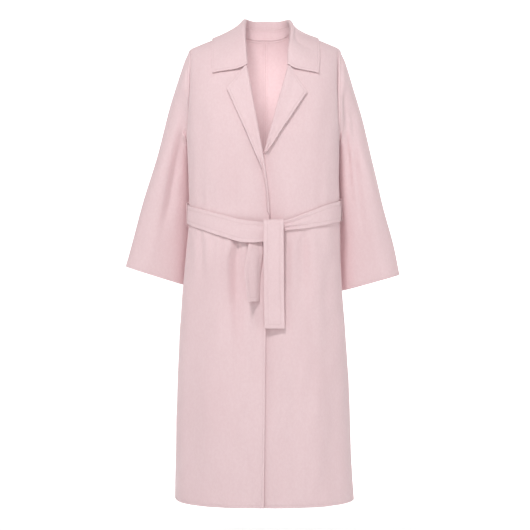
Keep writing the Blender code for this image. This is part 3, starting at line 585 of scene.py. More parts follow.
@dataclass
class ClothWall:
    """A wall of cloth from a grid of points in its middle and the normals there.

    The two faces lie half the thickness to each side. Along each open edge the wall is rounded by
    points on a half circle, n sin(a) + m cos(a), where m points out of the panel's edge.
    """

    name: str
    points: Array                      # rows, columns, 3
    normals: Array
    present: Optional[Array] = None    # which points of the grid there are
    loop: bool = False                 # the last column joins the first
    thickness: float = CLOTH
    inset: float = EDGE_INSET
    part: Optional[Array] = None       # number of the panel's part that each point belongs to

    def build(self) -> bpy.types.Object:
        """Makes the closed mesh with its edge attribute, and an object at the origin."""
        rows, columns = self.points.shape[:2]
        present = np.ones((rows, columns), bool) if self.present is None else self.present
        number = np.full((rows, columns), -1)
        number[present] = np.arange(present.sum())
        if self.loop:
            number = np.concatenate([number, number[:, :1]], axis=1)
        quads = np.stack(
            [number[:-1, :-1], number[:-1, 1:], number[1:, 1:], number[1:, :-1]], axis=-1
        ).reshape(-1, 4)
        quads = quads[(quads >= 0).all(axis=1)]
        middle = self.points[present].copy()
        out = self.normals[present]
        part = np.zeros(len(middle), int) if self.part is None else self.part[present]
        count = len(middle)
        facing = np.cross(
            middle[quads[:, 1]] - middle[quads[:, 0]], middle[quads[:, 3]] - middle[quads[:, 0]]
        )
        if (facing * out[quads[:, 0]]).sum() < 0:
            quads = quads[:, ::-1]
        sides = np.concatenate([quads[:, [k, (k + 1) % 4]] for k in range(4)])
        key = sides[:, 0] * count + sides[:, 1]
        rim = sides[~np.isin(key, sides[:, 1] * count + sides[:, 0])]
        away = np.zeros_like(middle)
        tangent = unit(middle[rim[:, 1]] - middle[rim[:, 0]])
        for end in (0, 1):
            np.add.at(away, rim[:, end], np.cross(tangent, out[rim[:, end]]))
        bound = np.unique(rim)
        away[bound] -= out[bound] * (away[bound] * out[bound]).sum(axis=-1, keepdims=True)
        away = unit(away)
        middle[bound] -= away[bound] * self.inset
        edge = np.full(count, FAR_FROM_EDGE)
        for group in np.unique(part):
            here = part == group
            runs = rim[here[rim].all(axis=1)]
            if len(runs):
                edge[here] = edge_distance(middle[here], middle[runs[:, 0]], middle[runs[:, 1]])
        half = self.thickness / 2
        place = np.full(count, -1)
        place[bound] = np.arange(len(bound))
        rings = [
            middle[bound] + half * (out[bound] * math.sin(a) + away[bound] * math.cos(a))
            for a in np.radians(RIM_TURNS)
        ]
        points = np.concatenate([middle + out * half, middle - out * half, *rings])
        start, end = rim[:, 0], rim[:, 1]
        ring_at = [2 * count + k * len(bound) for k in range(len(rings))]
        levels_a = [start, *[first + place[start] for first in ring_at], start + count]
        levels_b = [end, *[first + place[end] for first in ring_at], end + count]
        faces = [quads, quads[:, ::-1] + count] + [
            np.stack([levels_b[k], levels_a[k], levels_a[k + 1], levels_b[k + 1]], axis=-1)
            for k in range(len(rings) + 1)
        ]
        mesh = bpy.data.meshes.new(self.name)
        mesh.from_pydata(points.tolist(), [], np.concatenate(faces).tolist())
        attribute = mesh.attributes.new("edge", "FLOAT", "POINT")
        values = np.concatenate([edge, edge, np.zeros(len(rings) * len(bound))]).astype(np.float32)
        attribute.data.foreach_set("value", values)
        mesh.shade_smooth()
        mesh.update()
        piece = bpy.data.objects.new(self.name, mesh)
        bpy.context.scene.collection.objects.link(piece)
        return piece


@dataclass
class SewnPiece:
    """What every sewn piece has: its name, the CAD node it stands for, its finish and its cut."""

    name: str
    node: str
    flat: tuple[float, float]                # width and length of the cut
    area: Optional[float]                    # of the cut, where it isn't a rectangle
    hold: Hold
    rests_on: tuple[str, ...]
    finish: WoolFinish = COAT_WOOL
    slot: str = "coat_wool"

    def wall(self) -> ClothWall:
        """The piece's wall; each kind of piece works out its own."""
        raise NotImplementedError

    def dress(self) -> bpy.types.Object:
        """Builds the wall, gives it its finish, and sets it in its node's place."""
        piece = self.wall().build()
        piece.data.materials.append(self.finish.material())
        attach(piece, ROOT)
        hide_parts(self.node)
        LOG.info("%s: %d faces", self.name, len(piece.data.polygons))
        return piece


# --------------------------------------------------------------------------------------------------
# Body of the coat


@dataclass(frozen=True)
class Drape:
    """How the hung cloth departs from the figure: its creases, its slow waves and the belt's gathers."""

    creases: tuple[Crease, ...]
    waves: Unevenness
    fine_waves: Unevenness
    gathers: Unevenness
    gather_depth: float = 0.0015
    belt_z: float = -0.468

    def depth(self, u: Array, x: Array, z: Array) -> Array:
        """How far the cloth is pressed in at each point.

        Args:
            u: distance round the body, in metres.
            x: picture-plane X, for the creases.
            z: height.

        Returns:
            The depth, positive inwards. The gathers are sines of u that are strongest a little above
            and below the belt and die away from it; the waves are calm near the belt and over the chest.
        """
        total = np.zeros(np.broadcast(x, z).shape)
        for crease in self.creases:
            total = total + crease.at(x, z)
        off = np.abs(z - self.belt_z)
        near = np.exp(-((off - 0.050) / 0.038) ** 2) + 0.5 * np.exp(-((off - 0.095) / 0.060) ** 2)
        total = total + self.gathers.at(u, z * 0.25) * near * self.gather_depth / 0.001
        calm = ease((off - 0.022) / 0.10) * (0.35 + 0.65 * ease((-0.25 - z) / 0.25))
        low = ease((-0.55 - z) / 0.45)
        total = total + self.waves.at(u, z) * calm * (0.6 + 0.9 * low) + self.fine_waves.at(u, z) * calm
        return np.where(total < 0, total * ease((off - 0.034) / 0.030), total)


FRONT_RIGHT_DRAPE = Drape(
    creases=(
        Crease(((-0.0835, -0.500), (-0.0765, -0.600), (-0.0690, -0.720), (-0.0680, -0.950)), 0.0125, 0.0120,
               lean=1.7, fade=(0.55, 0.16)),
        Crease(((-0.1120, -0.510), (-0.1100, -0.650), (-0.1080, -0.900)), 0.026, -0.0055, fade=(0.5, 0.2)),
        Crease(((-0.0480, -0.520), (-0.0460, -0.640), (-0.0450, -0.800)), 0.016, -0.0040, fade=(0.5, 0.2)),
        Crease(((-0.0960, -0.330), (-0.0940, -0.400), (-0.0930, -0.455)), 0.014, 0.0050, fade=(0.35, 0.6)),
        Crease(((-0.1500, -0.330), (-0.1420, -0.420), (-0.1380, -0.470)), 0.016, 0.0035, fade=(0.3, 0.6)),
        Crease(((-0.1680, -0.150), (-0.1560, -0.260), (-0.1500, -0.340)), 0.018, 0.0035, fade=(0.5, 0.5)),
        Crease(((-0.1630, -0.560), (-0.1700, -0.800), (-0.1760, -1.300)), 0.030, 0.0060, fade=(0.2, 0.35)),
        Crease(((-0.0250, -0.700), (-0.0330, -0.950), (-0.0400, -1.300)), 0.026, 0.0045, fade=(0.2, 0.4)),
    ),
    waves=Unevenness(3, 0.110, 0.0016, 3.5),
    fine_waves=Unevenness(7, 0.045, 0.0005, 2.0),
    gathers=Unevenness(11, 0.034, 0.001, 6.0, 7),
)
FRONT_LEFT_DRAPE = Drape(
    creases=(
        Crease(((0.0930, -0.490), (0.0960, -0.560), (0.1000, -0.720)), 0.015, 0.0075, lean=0.7,
               fade=(0.6, 0.2)),
        Crease(((0.1230, -0.500), (0.1280, -0.620), (0.1330, -0.820)), 0.022, -0.0050, fade=(0.5, 0.2)),
        Crease(((0.0640, -0.500), (0.0660, -0.600), (0.0700, -0.760)), 0.014, -0.0040, fade=(0.5, 0.2)),
        Crease(((0.1090, -0.370), (0.1080, -0.410), (0.1080, -0.450)), 0.010, 0.0055, fade=(0.35, 0.6)),
        Crease(((0.1380, -0.340), (0.1330, -0.400), (0.1310, -0.455)), 0.014, 0.0035, fade=(0.3, 0.6)),
        Crease(((0.1600, -0.140), (0.1480, -0.250), (0.1420, -0.330)), 0.018, 0.0035, fade=(0.5, 0.5)),
        Crease(((0.1500, -0.540), (0.1620, -0.800), (0.1720, -1.300)), 0.030, 0.0070, fade=(0.2, 0.3)),
        Crease(((0.0650, -0.760), (0.0700, -0.950), (0.0740, -1.300)), 0.030, 0.0045, fade=(0.2, 0.4)),
    ),
    waves=Unevenness(4, 0.110, 0.0016, 3.5),
    fine_waves=Unevenness(8, 0.045, 0.0005, 2.0),
    gathers=Unevenness(12, 0.034, 0.001, 6.0, 7),
)
BACK_DRAPE = Drape(
    creases=(
        Crease(((-0.0620, -0.480), (-0.0600, -0.620), (-0.0560, -0.860)), 0.016, 0.0085, lean=1.5,
               fade=(0.5, 0.15)),
        Crease(((0.0500, -0.480), (0.0520, -0.600), (0.0560, -0.820)), 0.017, 0.0080, lean=0.7,
               fade=(0.5, 0.15)),
        Crease(((-0.1280, -0.500), (-0.1340, -0.700), (-0.1450, -1.300)), 0.028, 0.0070, fade=(0.2, 0.3)),
        Crease(((0.1240, -0.500), (0.1330, -0.700), (0.1440, -1.300)), 0.028, 0.0075, fade=(0.2, 0.3)),
        Crease(((-0.0080, -0.520), (-0.0060, -0.760), (0.0000, -1.300)), 0.022, -0.0040, fade=(0.2, 0.4)),
        Crease(((-0.1020, -0.300), (-0.0960, -0.380), (-0.0900, -0.450)), 0.018, 0.0055, fade=(0.3, 0.6)),
        Crease(((0.0960, -0.290), (0.0900, -0.380), (0.0850, -0.450)), 0.018, 0.0050, fade=(0.3, 0.6)),
        Crease(((-0.0300, -0.330), (-0.0280, -0.390), (-0.0260, -0.445)), 0.014, 0.0040, fade=(0.3, 0.6)),
        Crease(((-0.1640, -0.120), (-0.1480, -0.220), (-0.1380, -0.330)), 0.020, 0.0050, fade=(0.5, 0.5)),
        Crease(((0.1560, -0.120), (0.1420, -0.220), (0.1320, -0.330)), 0.020, 0.0050, fade=(0.5, 0.5)),
    ),
    waves=Unevenness(5, 0.110, 0.0018, 3.5),
    fine_waves=Unevenness(9, 0.045, 0.0005, 2.0),
    gathers=Unevenness(13, 0.034, 0.001, 6.0, 7),
    belt_z=-0.437,
)


def round_the_body(points: Array) -> Array:
    """Distance along each row of a grid of points, from its first column."""
    steps = np.linalg.norm(np.diff(points, axis=1), axis=-1)
    return np.concatenate([np.zeros((len(points), 1)), np.cumsum(steps, axis=1)], axis=1)


def seam_fade(u: Array) -> Array:
    """Share of the creases that shows: none at the side seam (u = 0) and at the shoulder seam."""
    rows_left = np.linspace(0, 1, len(u))[::-1][:, None]
    return ease(u / SEAM_CALM) * ease(rows_left / SHOULDER_CALM)


def shoulder_normals(seam: Array) -> Array:
    """Normals along a shoulder seam: square to it, in the upright plane that holds it."""
    along = unit(np.gradient(seam * [1, 0, 1], axis=0))
    return unit(np.cross(along, np.cross([0.0, 0.0, 1.0], along)))


@dataclass
class BackPanel(SewnPiece):
    """Half of the back, from the hem to the shoulder seam and the neckline."""

    side: Side = Side.RIGHT
    drape: Drape = BACK_DRAPE
    rows_below: int = 200
    rows_above: int = 60
    columns: int = 76

    def wall(self) -> ClothWall:
        """A chart of (q, turn) pairs on the figure: straight below the armpit, and above it a Coons
        patch between the armhole, the shoulder seam with the neckline, and the centre back."""
        f = FIGURE
        heights = np.linspace(f.hem_z, f.armpit_z, self.rows_below + 1)
        start = 0.0 if self.side is Side.RIGHT else math.pi
        q_low = start + (math.pi / 2 - start) * np.linspace(0, 1, self.columns + 1)
        low = f.point(
            Face.BACK, q_low[None, :] + 0 * heights[:, None], heights[:, None] + 0 * q_low[None], math.pi / 2
        )
        arm_q, arm_turn = f.armhole_line(self.side, self.rows_above + 1)
        neck_columns = int(self.columns * 0.42)
        neck_q, neck_turn = f.neckline_back(self.side, neck_columns + 1)
        seam_count = self.columns - neck_columns + 1
        seam_x = int(self.side) * np.linspace(f.shoulder_end(self.side), f.neck_x, seam_count)
        seam_q = f.q_at(seam_x, np.full(seam_count, f.armpit_z))
        seam_q[0] = arm_q[-1]
        top = np.stack([np.r_[seam_q, neck_q[1:]], np.r_[0 * seam_q, neck_turn[1:]]], axis=-1)
        bottom = np.stack([q_low, np.full(len(q_low), math.pi / 2)], axis=-1)
        left = np.stack([arm_q, arm_turn], axis=-1)
        share = np.linspace(0, 1, self.rows_above + 1)
        centre_turn = math.pi / 2 + (f.back_neck_turn - math.pi / 2) * share
        right = np.stack([np.full(self.rows_above + 1, math.pi / 2), centre_turn], axis=-1)
        chart = coons(bottom, top, left, right)
        high = f.point(Face.BACK, chart[..., 0], np.full(chart.shape[:2], f.armpit_z), chart[..., 1])
        points = np.concatenate([low, high[1:]])
        normals = normals_facing(points, 3, -1, (0, 1, 0))
        below = len(heights)
        normals[-1, :seam_count] = shoulder_normals(points[-1, :seam_count])
        normals[:below, 0] = unit(normals[:below, 0] * [1, 0, 1])
        normals[:, -1] = unit(normals[:, -1] * [0, 1, 1])
        u = round_the_body(points)
        x, z = points[..., 0], points[..., 2]
        round_centre = int(self.side) * (u[:, -1:] - u)
        push = self.drape.depth(round_centre, x, z) * seam_fade(u)
        moved = points - normals * push[..., None]
        own = normals_like(moved, normals)
        fixed = np.zeros(points.shape[:2], bool)
        fixed[:below, 0] = True
        fixed[-1, :seam_count] = True
        own = np.where(fixed[..., None], normals, own)
        own[:, -1] = unit(own[:, -1] * [0, 1, 1])
        moved[:, -1, 0] = 0
        return ClothWall(self.name, moved, own)


@dataclass
class FrontPanel(SewnPiece):
    """One front: its body from hem to shoulder, and its lapel turned back over it."""

    side: Side = Side.RIGHT
    drape: Drape = FRONT_RIGHT_DRAPE
    edge: Rows = ()                   # z, x of the turned or cut front edge that shows
    lapel: Rows = ()                  # z, x of the lapel's outer edge, from the break to the tip
    break_z: float = -0.477
    cover: Rows = ()                  # edge of the front on top
    drop: float = 0.0                 # how much deeper the front underneath lies there
    round_share: float = 1.15         # way round the front over its width as seen
    rows_below: int = 190
    rows_above: int = 60
    columns: int = 84
    arc_columns: int = 9
    leaf_columns: int = 30
    fold_radius: float = 0.003
    lapel_lift: float = 0.0044
    lapel_edge_lift: float = 0.0078

    @property
    def inner(self) -> float:
        """Way from the body's edge to the outside of the fold."""
        return -int(self.side) * self.fold_radius

    def deeper(self, x: Array, z: Array) -> Array:
        """How much deeper this front lies where the one on top covers it."""
        return self.drop * ease((straight(self.cover, z) + 0.050 - x) / 0.045)

    def body(self) -> tuple[Array, Array, int, int]:
        """The body's points and normals, and the rows where the lapel starts and ends."""
        f = FIGURE
        lower_rows = int(self.rows_below * (self.break_z - f.hem_z) / (f.armpit_z - f.hem_z))
        lower = np.linspace(f.hem_z, self.break_z, lower_rows + 1)
        upper = np.linspace(self.break_z, f.armpit_z, self.rows_below - lower_rows + 1)
        heights = np.r_[lower, upper[1:]]
        start = 0.0 if self.side is Side.RIGHT else math.pi
        spread = np.linspace(0, 1, self.columns + 1)
        edge_x = straight(self.edge, heights) - self.inner
        q_in = f.q_at(edge_x, heights)
        q_low = start + (q_in[:, None] - start) * spread[None]
        low = f.point(Face.FRONT, q_low, heights[:, None] + 0 * q_low, math.pi / 2)
        arm_q, arm_turn = f.armhole_line(self.side, self.rows_above + 1)
        half = self.rows_above // 2
        end_z = self.edge[-1][0]
        roll_z = np.linspace(f.armpit_z, end_z, half + 1)
        roll_x = straight(self.edge, roll_z) - self.inner
        neck_q, neck_turn = f.neckline_front(self.side, roll_x[-1], end_z, half + 1)
        right = np.stack([
            np.r_[f.q_at(roll_x, roll_z), neck_q[1:]],
            np.r_[f.turn_at(Face.FRONT, roll_x, roll_z), neck_turn[1:]],
        ], axis=-1)
        seam_x = int(self.side) * np.linspace(f.shoulder_end(self.side), f.neck_x, self.columns + 1)
        seam_q = f.q_at(seam_x, np.full(len(seam_x), f.armpit_z))
        seam_q[0] = arm_q[-1]
        top = np.stack([seam_q, 0 * seam_q], axis=-1)
        bottom = np.stack([q_low[-1], np.full(len(spread), math.pi / 2)], axis=-1)
        chart = coons(bottom, top, np.stack([arm_q, arm_turn], axis=-1), right)
        high = f.point(Face.FRONT, chart[..., 0], np.full(chart.shape[:2], f.armpit_z), chart[..., 1])
        points = np.concatenate([low, high[1:]])
        normals = normals_facing(points, 3, -1, (0, -1, 0))
        below = len(heights)
        normals[-1] = shoulder_normals(points[-1])
        normals[:below, 0] = unit(normals[:below, 0] * [1, 0, 1])
        x, z = points[..., 0], points[..., 2]
        collar_fade = ease((-0.12 - z) / 0.08) * 0.85 + 0.15
        lapel_calm = 1 - 0.85 * ease((z + 0.50) / 0.06) * ease((0.16 - np.abs(x)) / 0.06)
        u = x * self.round_share
        push = self.drape.depth(u, x, z)
        if self.drop:
            over = ease((straight(self.cover, z) + 0.060 - x) / 0.050)
            push = push * (1 - over) + FRONT_RIGHT_DRAPE.depth(u, x, z) * over
        push = push * seam_fade(round_the_body(points)) * collar_fade
        push = push * lapel_calm + (self.deeper(x, z) if self.drop else 0.0)
        moved = points - normals * push[..., None]
        own = normals_like(moved, normals)
        own[-1] = normals[-1]
        own[:below, 0] = normals[:below, 0]
        return moved, own, lower_rows, below - 1 + half

    def strip(self, body: Array, first: int, last: int) -> Array:
        """The turned edge: a half circle of the fold's radius, then the leaf lying back over the body.

        A column's way round the fold sets its angle a: it lies radius sin(a) past the edge and
        radius (1 - cos a) above it; past half a turn it runs straight to the lapel's outer edge.
        """
        f = FIGURE
        rows = np.arange(first, last + 1)
        share = (rows - rows[0]) / (len(rows) - 1)
        start = body[rows, -1]
        roll_x, roll_z = start[:, 0], start[:, 2]
        lapel = np.array(self.lapel)
        length = np.r_[0, np.cumsum(np.hypot(*np.diff(lapel, axis=0).T))]
        outer_z = np.interp(share * length[-1], length, lapel[:, 0])
        outer_x = np.interp(share * length[-1], length, lapel[:, 1])
        grow = ease(share / 0.10 + 0.04)
        arc = math.pi * self.fold_radius
        leaf = np.hypot(outer_x - roll_x, outer_z - roll_z)
        steps = np.r_[
            np.linspace(0, arc, self.arc_columns + 1)[1:, None] * np.ones_like(leaf),
            arc + np.linspace(0, 1, self.leaf_columns + 1)[1:, None] * leaf,
        ].T
        far = steps * grow[:, None]
        angle = np.minimum(far / self.fold_radius, math.pi)
        back = np.maximum(far - arc, 0) / np.maximum(leaf, 1e-6)[:, None]
        x = roll_x[:, None] + self.inner * np.sin(angle) + back * (outer_x - roll_x)[:, None]
        z = roll_z[:, None] + back * (outer_z - roll_z)[:, None]
        high = self.fold_radius * (1 - np.cos(angle))
        high = high - (2 * self.fold_radius - self.lapel_lift) * ease(back / 0.35)
        high = high + (self.lapel_edge_lift - self.lapel_lift) * ease((back - 0.45) / 0.5)
        curl = 0.0012 * np.sin(9 * share + 1.3 * int(self.side))[:, None] * back**2
        drop = self.deeper(x, z) if self.drop else 0 * x
        height = high + curl * ease(share / 0.2)[:, None] - drop
        return f.seen(Face.FRONT, x, z) + f.seen_normal(Face.FRONT, x, z) * height[..., None]

    def wall(self) -> ClothWall:
        """The body and the turned strip joined in one grid, with the strip only on the lapel's rows."""
        points, normals, first, last = self.body()
        strip = self.strip(points, first, last)
        rows = slice(first, last + 1)
        width = points.shape[1] + strip.shape[1]
        grid = np.zeros((points.shape[0], width, 3))
        out = np.zeros_like(grid)
        present = np.zeros(grid.shape[:2], bool)
        part = np.zeros(grid.shape[:2], int)
        grid[:, :points.shape[1]] = points
        out[:, :points.shape[1]] = normals
        present[:, :points.shape[1]] = True
        joined = np.concatenate([points[rows, -2:], strip], axis=1)
        own = grid_normals(joined)
        if (own[:, 0] * normals[rows, -2]).sum() < 0:
            own = -own
        grid[rows, points.shape[1]:] = strip
        out[rows, points.shape[1]:] = own[:, 2:]
        present[rows, points.shape[1]:] = True
        part[rows, points.shape[1] + self.arc_columns // 2:] = 1
        return ClothWall(self.name, grid, out, present, part=part)


# --------------------------------------------------------------------------------------------------
# Sleeves


@dataclass
class Sleeve(SewnPiece):
    """A wide sleeve: a tube of slanted rings from the armhole to the open cuff."""

    side: Side = Side.RIGHT
    rings: Rows = ()                 # outer x, outer z, inner x, inner z, half depth, middle y
    creases: tuple[Crease, ...] = ()
    back_creases: tuple[Crease, ...] = ()
    waves: Unevenness = Unevenness(21, 0.080, 0.0014, 2.5)
    rows: int = 190
    half_columns: int = 60
    start_gap: float = 0.0003

    def wall(self) -> ClothWall:
        """Each ring is centre + reach sin(s) + depth cos(s) round the swing s, with both powers
        slightly under 1. The first ring is the armhole itself, and the change to the table's rings is
        a smooth step."""
        loop = FIGURE.armhole_loop(self.side, self.half_columns + 1)
        count = len(loop)
        swing = -math.pi / 2 + 2 * math.pi * np.arange(count) / count
        at = np.linspace(0, 1, self.rows + 1)
        keys = np.linspace(0, 1, len(self.rings))
        rings = smooth(np.column_stack([keys, np.array(self.rings)]), at)[:, 1:]
        sign = int(self.side)
        outer = np.stack([sign * rings[:, 0], 0 * at, rings[:, 1]], axis=-1)
        inner = np.stack([sign * rings[:, 2], 0 * at, rings[:, 3]], axis=-1)
        centre = (outer + inner) / 2 + np.stack([0 * at, rings[:, 5], 0 * at], axis=-1)
        reach = (outer - inner) / 2
        up = np.sign(np.sin(swing)) * np.abs(np.sin(swing)) ** 0.9
        across = np.sign(np.cos(swing)) * np.abs(np.cos(swing)) ** 0.9
        points = (
            centre[:, None]
            + reach[:, None] * up[None, :, None]
            + rings[:, 4][:, None, None] * across[None, :, None] * np.array([0, 1, 0])
        )
        settle = (1 - ease(at / 0.2))[:, None, None]
        points = points + (loop - points[0])[None] * settle
        points = self.start_on_armhole(points, loop, centre, settle)
        points = self.relax(points, at)
        normals = self.outward(points, centre)
        push = self.depth(points, normals, at, swing)
        moved = points - normals * push[..., None]
        return ClothWall(self.name, moved, self.outward(moved, centre), loop=True)

    def outward(self, points: Array, centre: Array) -> Array:
        """Normals of the closed rings, pointing away from the sleeve's middle."""
        wrapped = np.concatenate([points[:, -1:], points, points[:, :1]], axis=1)
        normals = grid_normals(wrapped)[:, 1:-1]
        return -normals if ((points - centre[:, None]) * normals).sum() < 0 else normals

    def start_on_armhole(self, points: Array, loop: Array, centre: Array, settle: Array) -> Array:
        """Sets the first ring on the body: on its face where the sleeve leaves square to it, and past
        its edge where the sleeve carries the body's surface on."""
        around = unit(np.roll(loop, -1, axis=0) - np.roll(loop, 1, axis=0))
        body_normal = FIGURE.height_over(loop)[1]
        into_hole = unit(np.cross(body_normal, around))
        into_hole *= np.sign(((loop.mean(axis=0) - loop) * into_hole).sum(axis=-1, keepdims=True))
        stride = max(2, len(points) // 9)
        for _ in range(2):
            normals = self.outward(points, centre)
            leave = unit(points[stride] - points[0])
            lift = (leave * body_normal).sum(axis=-1)
            past = (leave * into_hole).sum(axis=-1)
            on_face = ease((lift - past) / 0.8 + 0.5)[:, None]
            over = self.start_gap + CLOTH / 2 * (1 + np.abs((normals[0] * body_normal).sum(axis=-1)))
            beside = self.start_gap + CLOTH / 2 * np.abs((normals[0] * into_hole).sum(axis=-1))
            start = loop + body_normal * over[:, None] * on_face
            start = start + into_hole * beside[:, None] * (1 - on_face)
            points = points + (start - points[0])[None] * settle
        return points

    def relax(self, points: Array, at: Array, rounds: int = 160, radius: float = 0.045) -> Array:
        """Eases the cloth below the armpit: each point moves towards the mean of its four neighbours by
        a share that fades with its distance from the armpit, exp(-(d/r)^2), and the seam stays."""
        near = np.linalg.norm(points - points[0, 0], axis=-1)
        share = 0.9 * np.exp(-((near / radius) ** 2)) * ease((0.22 - at) / 0.06)[:, None]
        for _ in range(rounds):
            mean = points.copy()
            mean[1:-1] = (
                points[:-2] + points[2:]
                + np.roll(points, 1, axis=1)[1:-1] + np.roll(points, -1, axis=1)[1:-1]
            ) / 4
            points = points + (mean - points) * share[..., None]
        return points

    def depth(self, points: Array, normals: Array, at: Array, swing: Array) -> Array:
        """How far creases and waves press the sleeve in; both die away towards the armhole."""
        x, z = points[..., 0], points[..., 2]
        front = ease(-normals[..., 1] * 1.6 + 0.1)
        back = ease(normals[..., 1] * 1.6 + 0.1)
        total = np.zeros(points.shape[:2])
        for crease in self.creases:
            total = total + crease.at(x, z) * front
        for crease in self.back_creases:
            total = total + crease.at(x, z) * back
        u = 0.062 * np.cos(swing)[None] + 0 * x
        v = z + 0.15 * np.sin(swing)[None]
        fade = ease(at / 0.10)[:, None]
        head = -0.0016 * np.exp(-(((at - 0.035) / 0.022) ** 2))[:, None] * ease(np.sin(swing) + 0.3)[None]
        inside = ease((np.sin(swing)[None] + 0.75) / 0.5) * 0.8 + 0.2
        return (total + self.waves.at(u, v) * inside) * fade + head


# --------------------------------------------------------------------------------------------------
# Collar


@dataclass(frozen=True)
class CollarForm:
    """The collar's two halves, from the lapel's end (station 0) to the centre back (station 1).

    At each station the band rises from the neckline to the roll line, turns over a half circle and
    falls as a cubic curve to the free edge, and every point of the leaf is kept over the figure.
    """

    roll: Rows = (
        # station, how far inside the neckline on the right and the left, rise over it
        (0.00, 0.0041, 0.0041, 0.0000),
        (0.20, 0.0036, 0.0030, 0.0045),
        (0.40, 0.0074, -0.0010, 0.0130),
        (0.60, 0.0165, 0.0090, 0.0270),
        (0.80, 0.0110, 0.0050, 0.0450),
        (0.93, 0.0040, 0.0020, 0.0508),
        (1.00, 0.0, 0.0, 0.0512),
    )
    free_edge: Rows = (
        # station, how far out, turn from the front (-) over the shoulder to the back
        (0.00, 0.1300, -53.0),
        (0.20, 0.1335, -38.0),
        (0.42, 0.1330, -15.0),
        (0.62, 0.1280, 12.0),
        (0.80, 0.0850, 36.0),
        (0.92, 0.0350, 49.3),
        (1.00, 0.0, 50.5),
    )
    starts: Rows = ((-0.0463, -0.0927), (0.0556, -0.0927))   # x, z of the lapels' ends
    fold_radius: float = 0.003
    stations: int = 90            # in each half
    leaf_points: int = 34
    arc_points: int = 12
    stand_from: float = 0.2       # station where the band under the leaf begins
    seat_gap: float = 0.0001
    notch_gap: float = 0.0028

    def half(self, side: Side) -> dict[str, Array]:
        """Points of one half.

        Returns:
            fall: the leaf with its fold; stand: the band; seam: the common normals where they meet.
        """
        f = FIGURE
        sign = int(side)
        start_x, start_z = self.starts[0 if side is Side.RIGHT else 1]
        stations = np.linspace(0, 1, self.stations + 1)
        neck = f.neck_path(side, start_x + sign * self.fold_radius, start_z, len(stations))
        offsets = smooth(self.roll, stations)
        inward = np.array([-sign, 0.0, 0.0])
        upright = ease((stations - 0.3) / 0.3)[:, None]
        lift = unit(f.height_over(neck)[1] * [0, 1, 1] * (1 - upright) + upright * [0, 0.08, 1])
        across = offsets[:, [1 if side is Side.RIGHT else 2]]
        roll = neck + inward * across + lift * offsets[:, [3]]
        along = unit(np.gradient(roll, axis=0))
        blend = ease(stations / 0.45)[:, None]
        up = unit(unit(roll - neck + 1e-9) * blend + inward * (1 - blend))
        up = unit(up - along * (up * along).sum(axis=-1, keepdims=True))
        out = unit(np.cross(along, up)) * sign
        radius = self.fold_radius + 0.001 * blend
        low = roll - up * radius
        arc_middle = low + out * radius
        arc_end = arc_middle + out * radius
        free, away = self.free_line(side, stations)
        leaf = self.leaf(stations, arc_end, free, away, up)
        sweep = np.linspace(0, math.pi, self.arc_points)[None, :, None]
        arc = arc_middle[:, None] + radius[:, None] * (
            -np.cos(sweep) * out[:, None] + np.sin(sweep) * up[:, None]
        )
        tangent = unit(np.gradient(neck, axis=0))
        into_hole = unit(np.cross(f.height_over(neck)[1], tangent)) * sign
        seat = neck
        own = out
        for _ in range(2):
            own = unit(np.cross(tangent, unit(low - seat)))
            beside = self.seat_gap + CLOTH / 2 * np.abs((own * into_hole).sum(axis=-1))
            seat = neck + into_hole * beside[:, None]
        rise = np.linalg.norm(low - seat, axis=1)
        turned_in = np.minimum(0.018, rise * (1 - 0.6 * ease((stations - 0.1) / 0.3)))
        split = low - unit(low - seat) * turned_in[:, None]
        share = np.linspace(0, 1, 5)[None, :-1, None]
        turn_up = split[:, None] * (1 - share) + low[:, None] * share
        fall = np.concatenate([turn_up, arc, leaf], axis=1)
        fall[:, :, 2] += (self.notch_gap * np.clip(1 - stations * 15, 0, 1))[:, None]
        share = np.linspace(0, 1, 12)[None, :, None]
        stand = seat[:, None] * (1 - share) + split[:, None] * share
        return {"fall": fall, "stand": stand, "seam": own * sign}

    def free_line(self, side: Side, stations: Array) -> tuple[Array, Array]:
        """The free edge, a little over the figure, and the direction away from the figure there."""
        f = FIGURE
        rows = smooth(self.free_edge, stations)
        turn = np.radians(rows[:, 2])
        level = np.full(len(turn), f.armpit_z)
        q = f.q_at(int(side) * rows[:, 1], level)
        front = f.point(Face.FRONT, q, level, np.abs(turn))
        back = f.point(Face.BACK, q, level, np.abs(turn))
        foot = np.where((turn < 0)[:, None], front, back)
        away = f.height_over(foot)[1]
        return foot + away * (CLOTH + 0.0022), away

    def leaf(self, stations: Array, arc_end: Array, free: Array, away: Array, up: Array) -> Array:
        """The leaf as a cubic Bezier curve from the fold to the free edge at every station."""
        span = np.linalg.norm(free - arc_end, axis=1)[:, None]
        drop = np.array([0.0, 0.0, -0.9]) * (1 - ease(stations / 0.12))[:, None]
        leave = unit(-up + drop)
        reach = unit(free - arc_end)
        reach = unit(reach - away * (reach * away).sum(axis=-1, keepdims=True))
        ends = (1 - ease(stations / 0.15))[:, None]
        handle_a = arc_end + leave * span * (0.25 + 0.02 * ends)
        handle_b = free - reach * span * 0.33
        t = np.linspace(0, 1, self.leaf_points + 1)[1:][None, :, None]
        leaf = (
            (1 - t) ** 3 * arc_end[:, None]
            + 3 * (1 - t) ** 2 * t * handle_a[:, None]
            + 3 * (1 - t) * t**2 * handle_b[:, None]
            + t**3 * free[:, None]
        )
        for _ in range(4):
            height, direction = FIGURE.height_over(leaf)
            leaf = leaf + direction * np.maximum(CLOTH + 0.0018 - height, 0)[..., None]
        return leaf


COLLAR_FORM = CollarForm()


def both_halves(form: CollarForm, key: str, first: int = 0) -> Array:
    """The two halves' rows of one kind joined at the centre back, from the given station on."""
    right = form.half(Side.RIGHT)[key][first:]
    left = form.half(Side.LEFT)[key][first:]
    return np.concatenate([right, left[::-1][1:]])


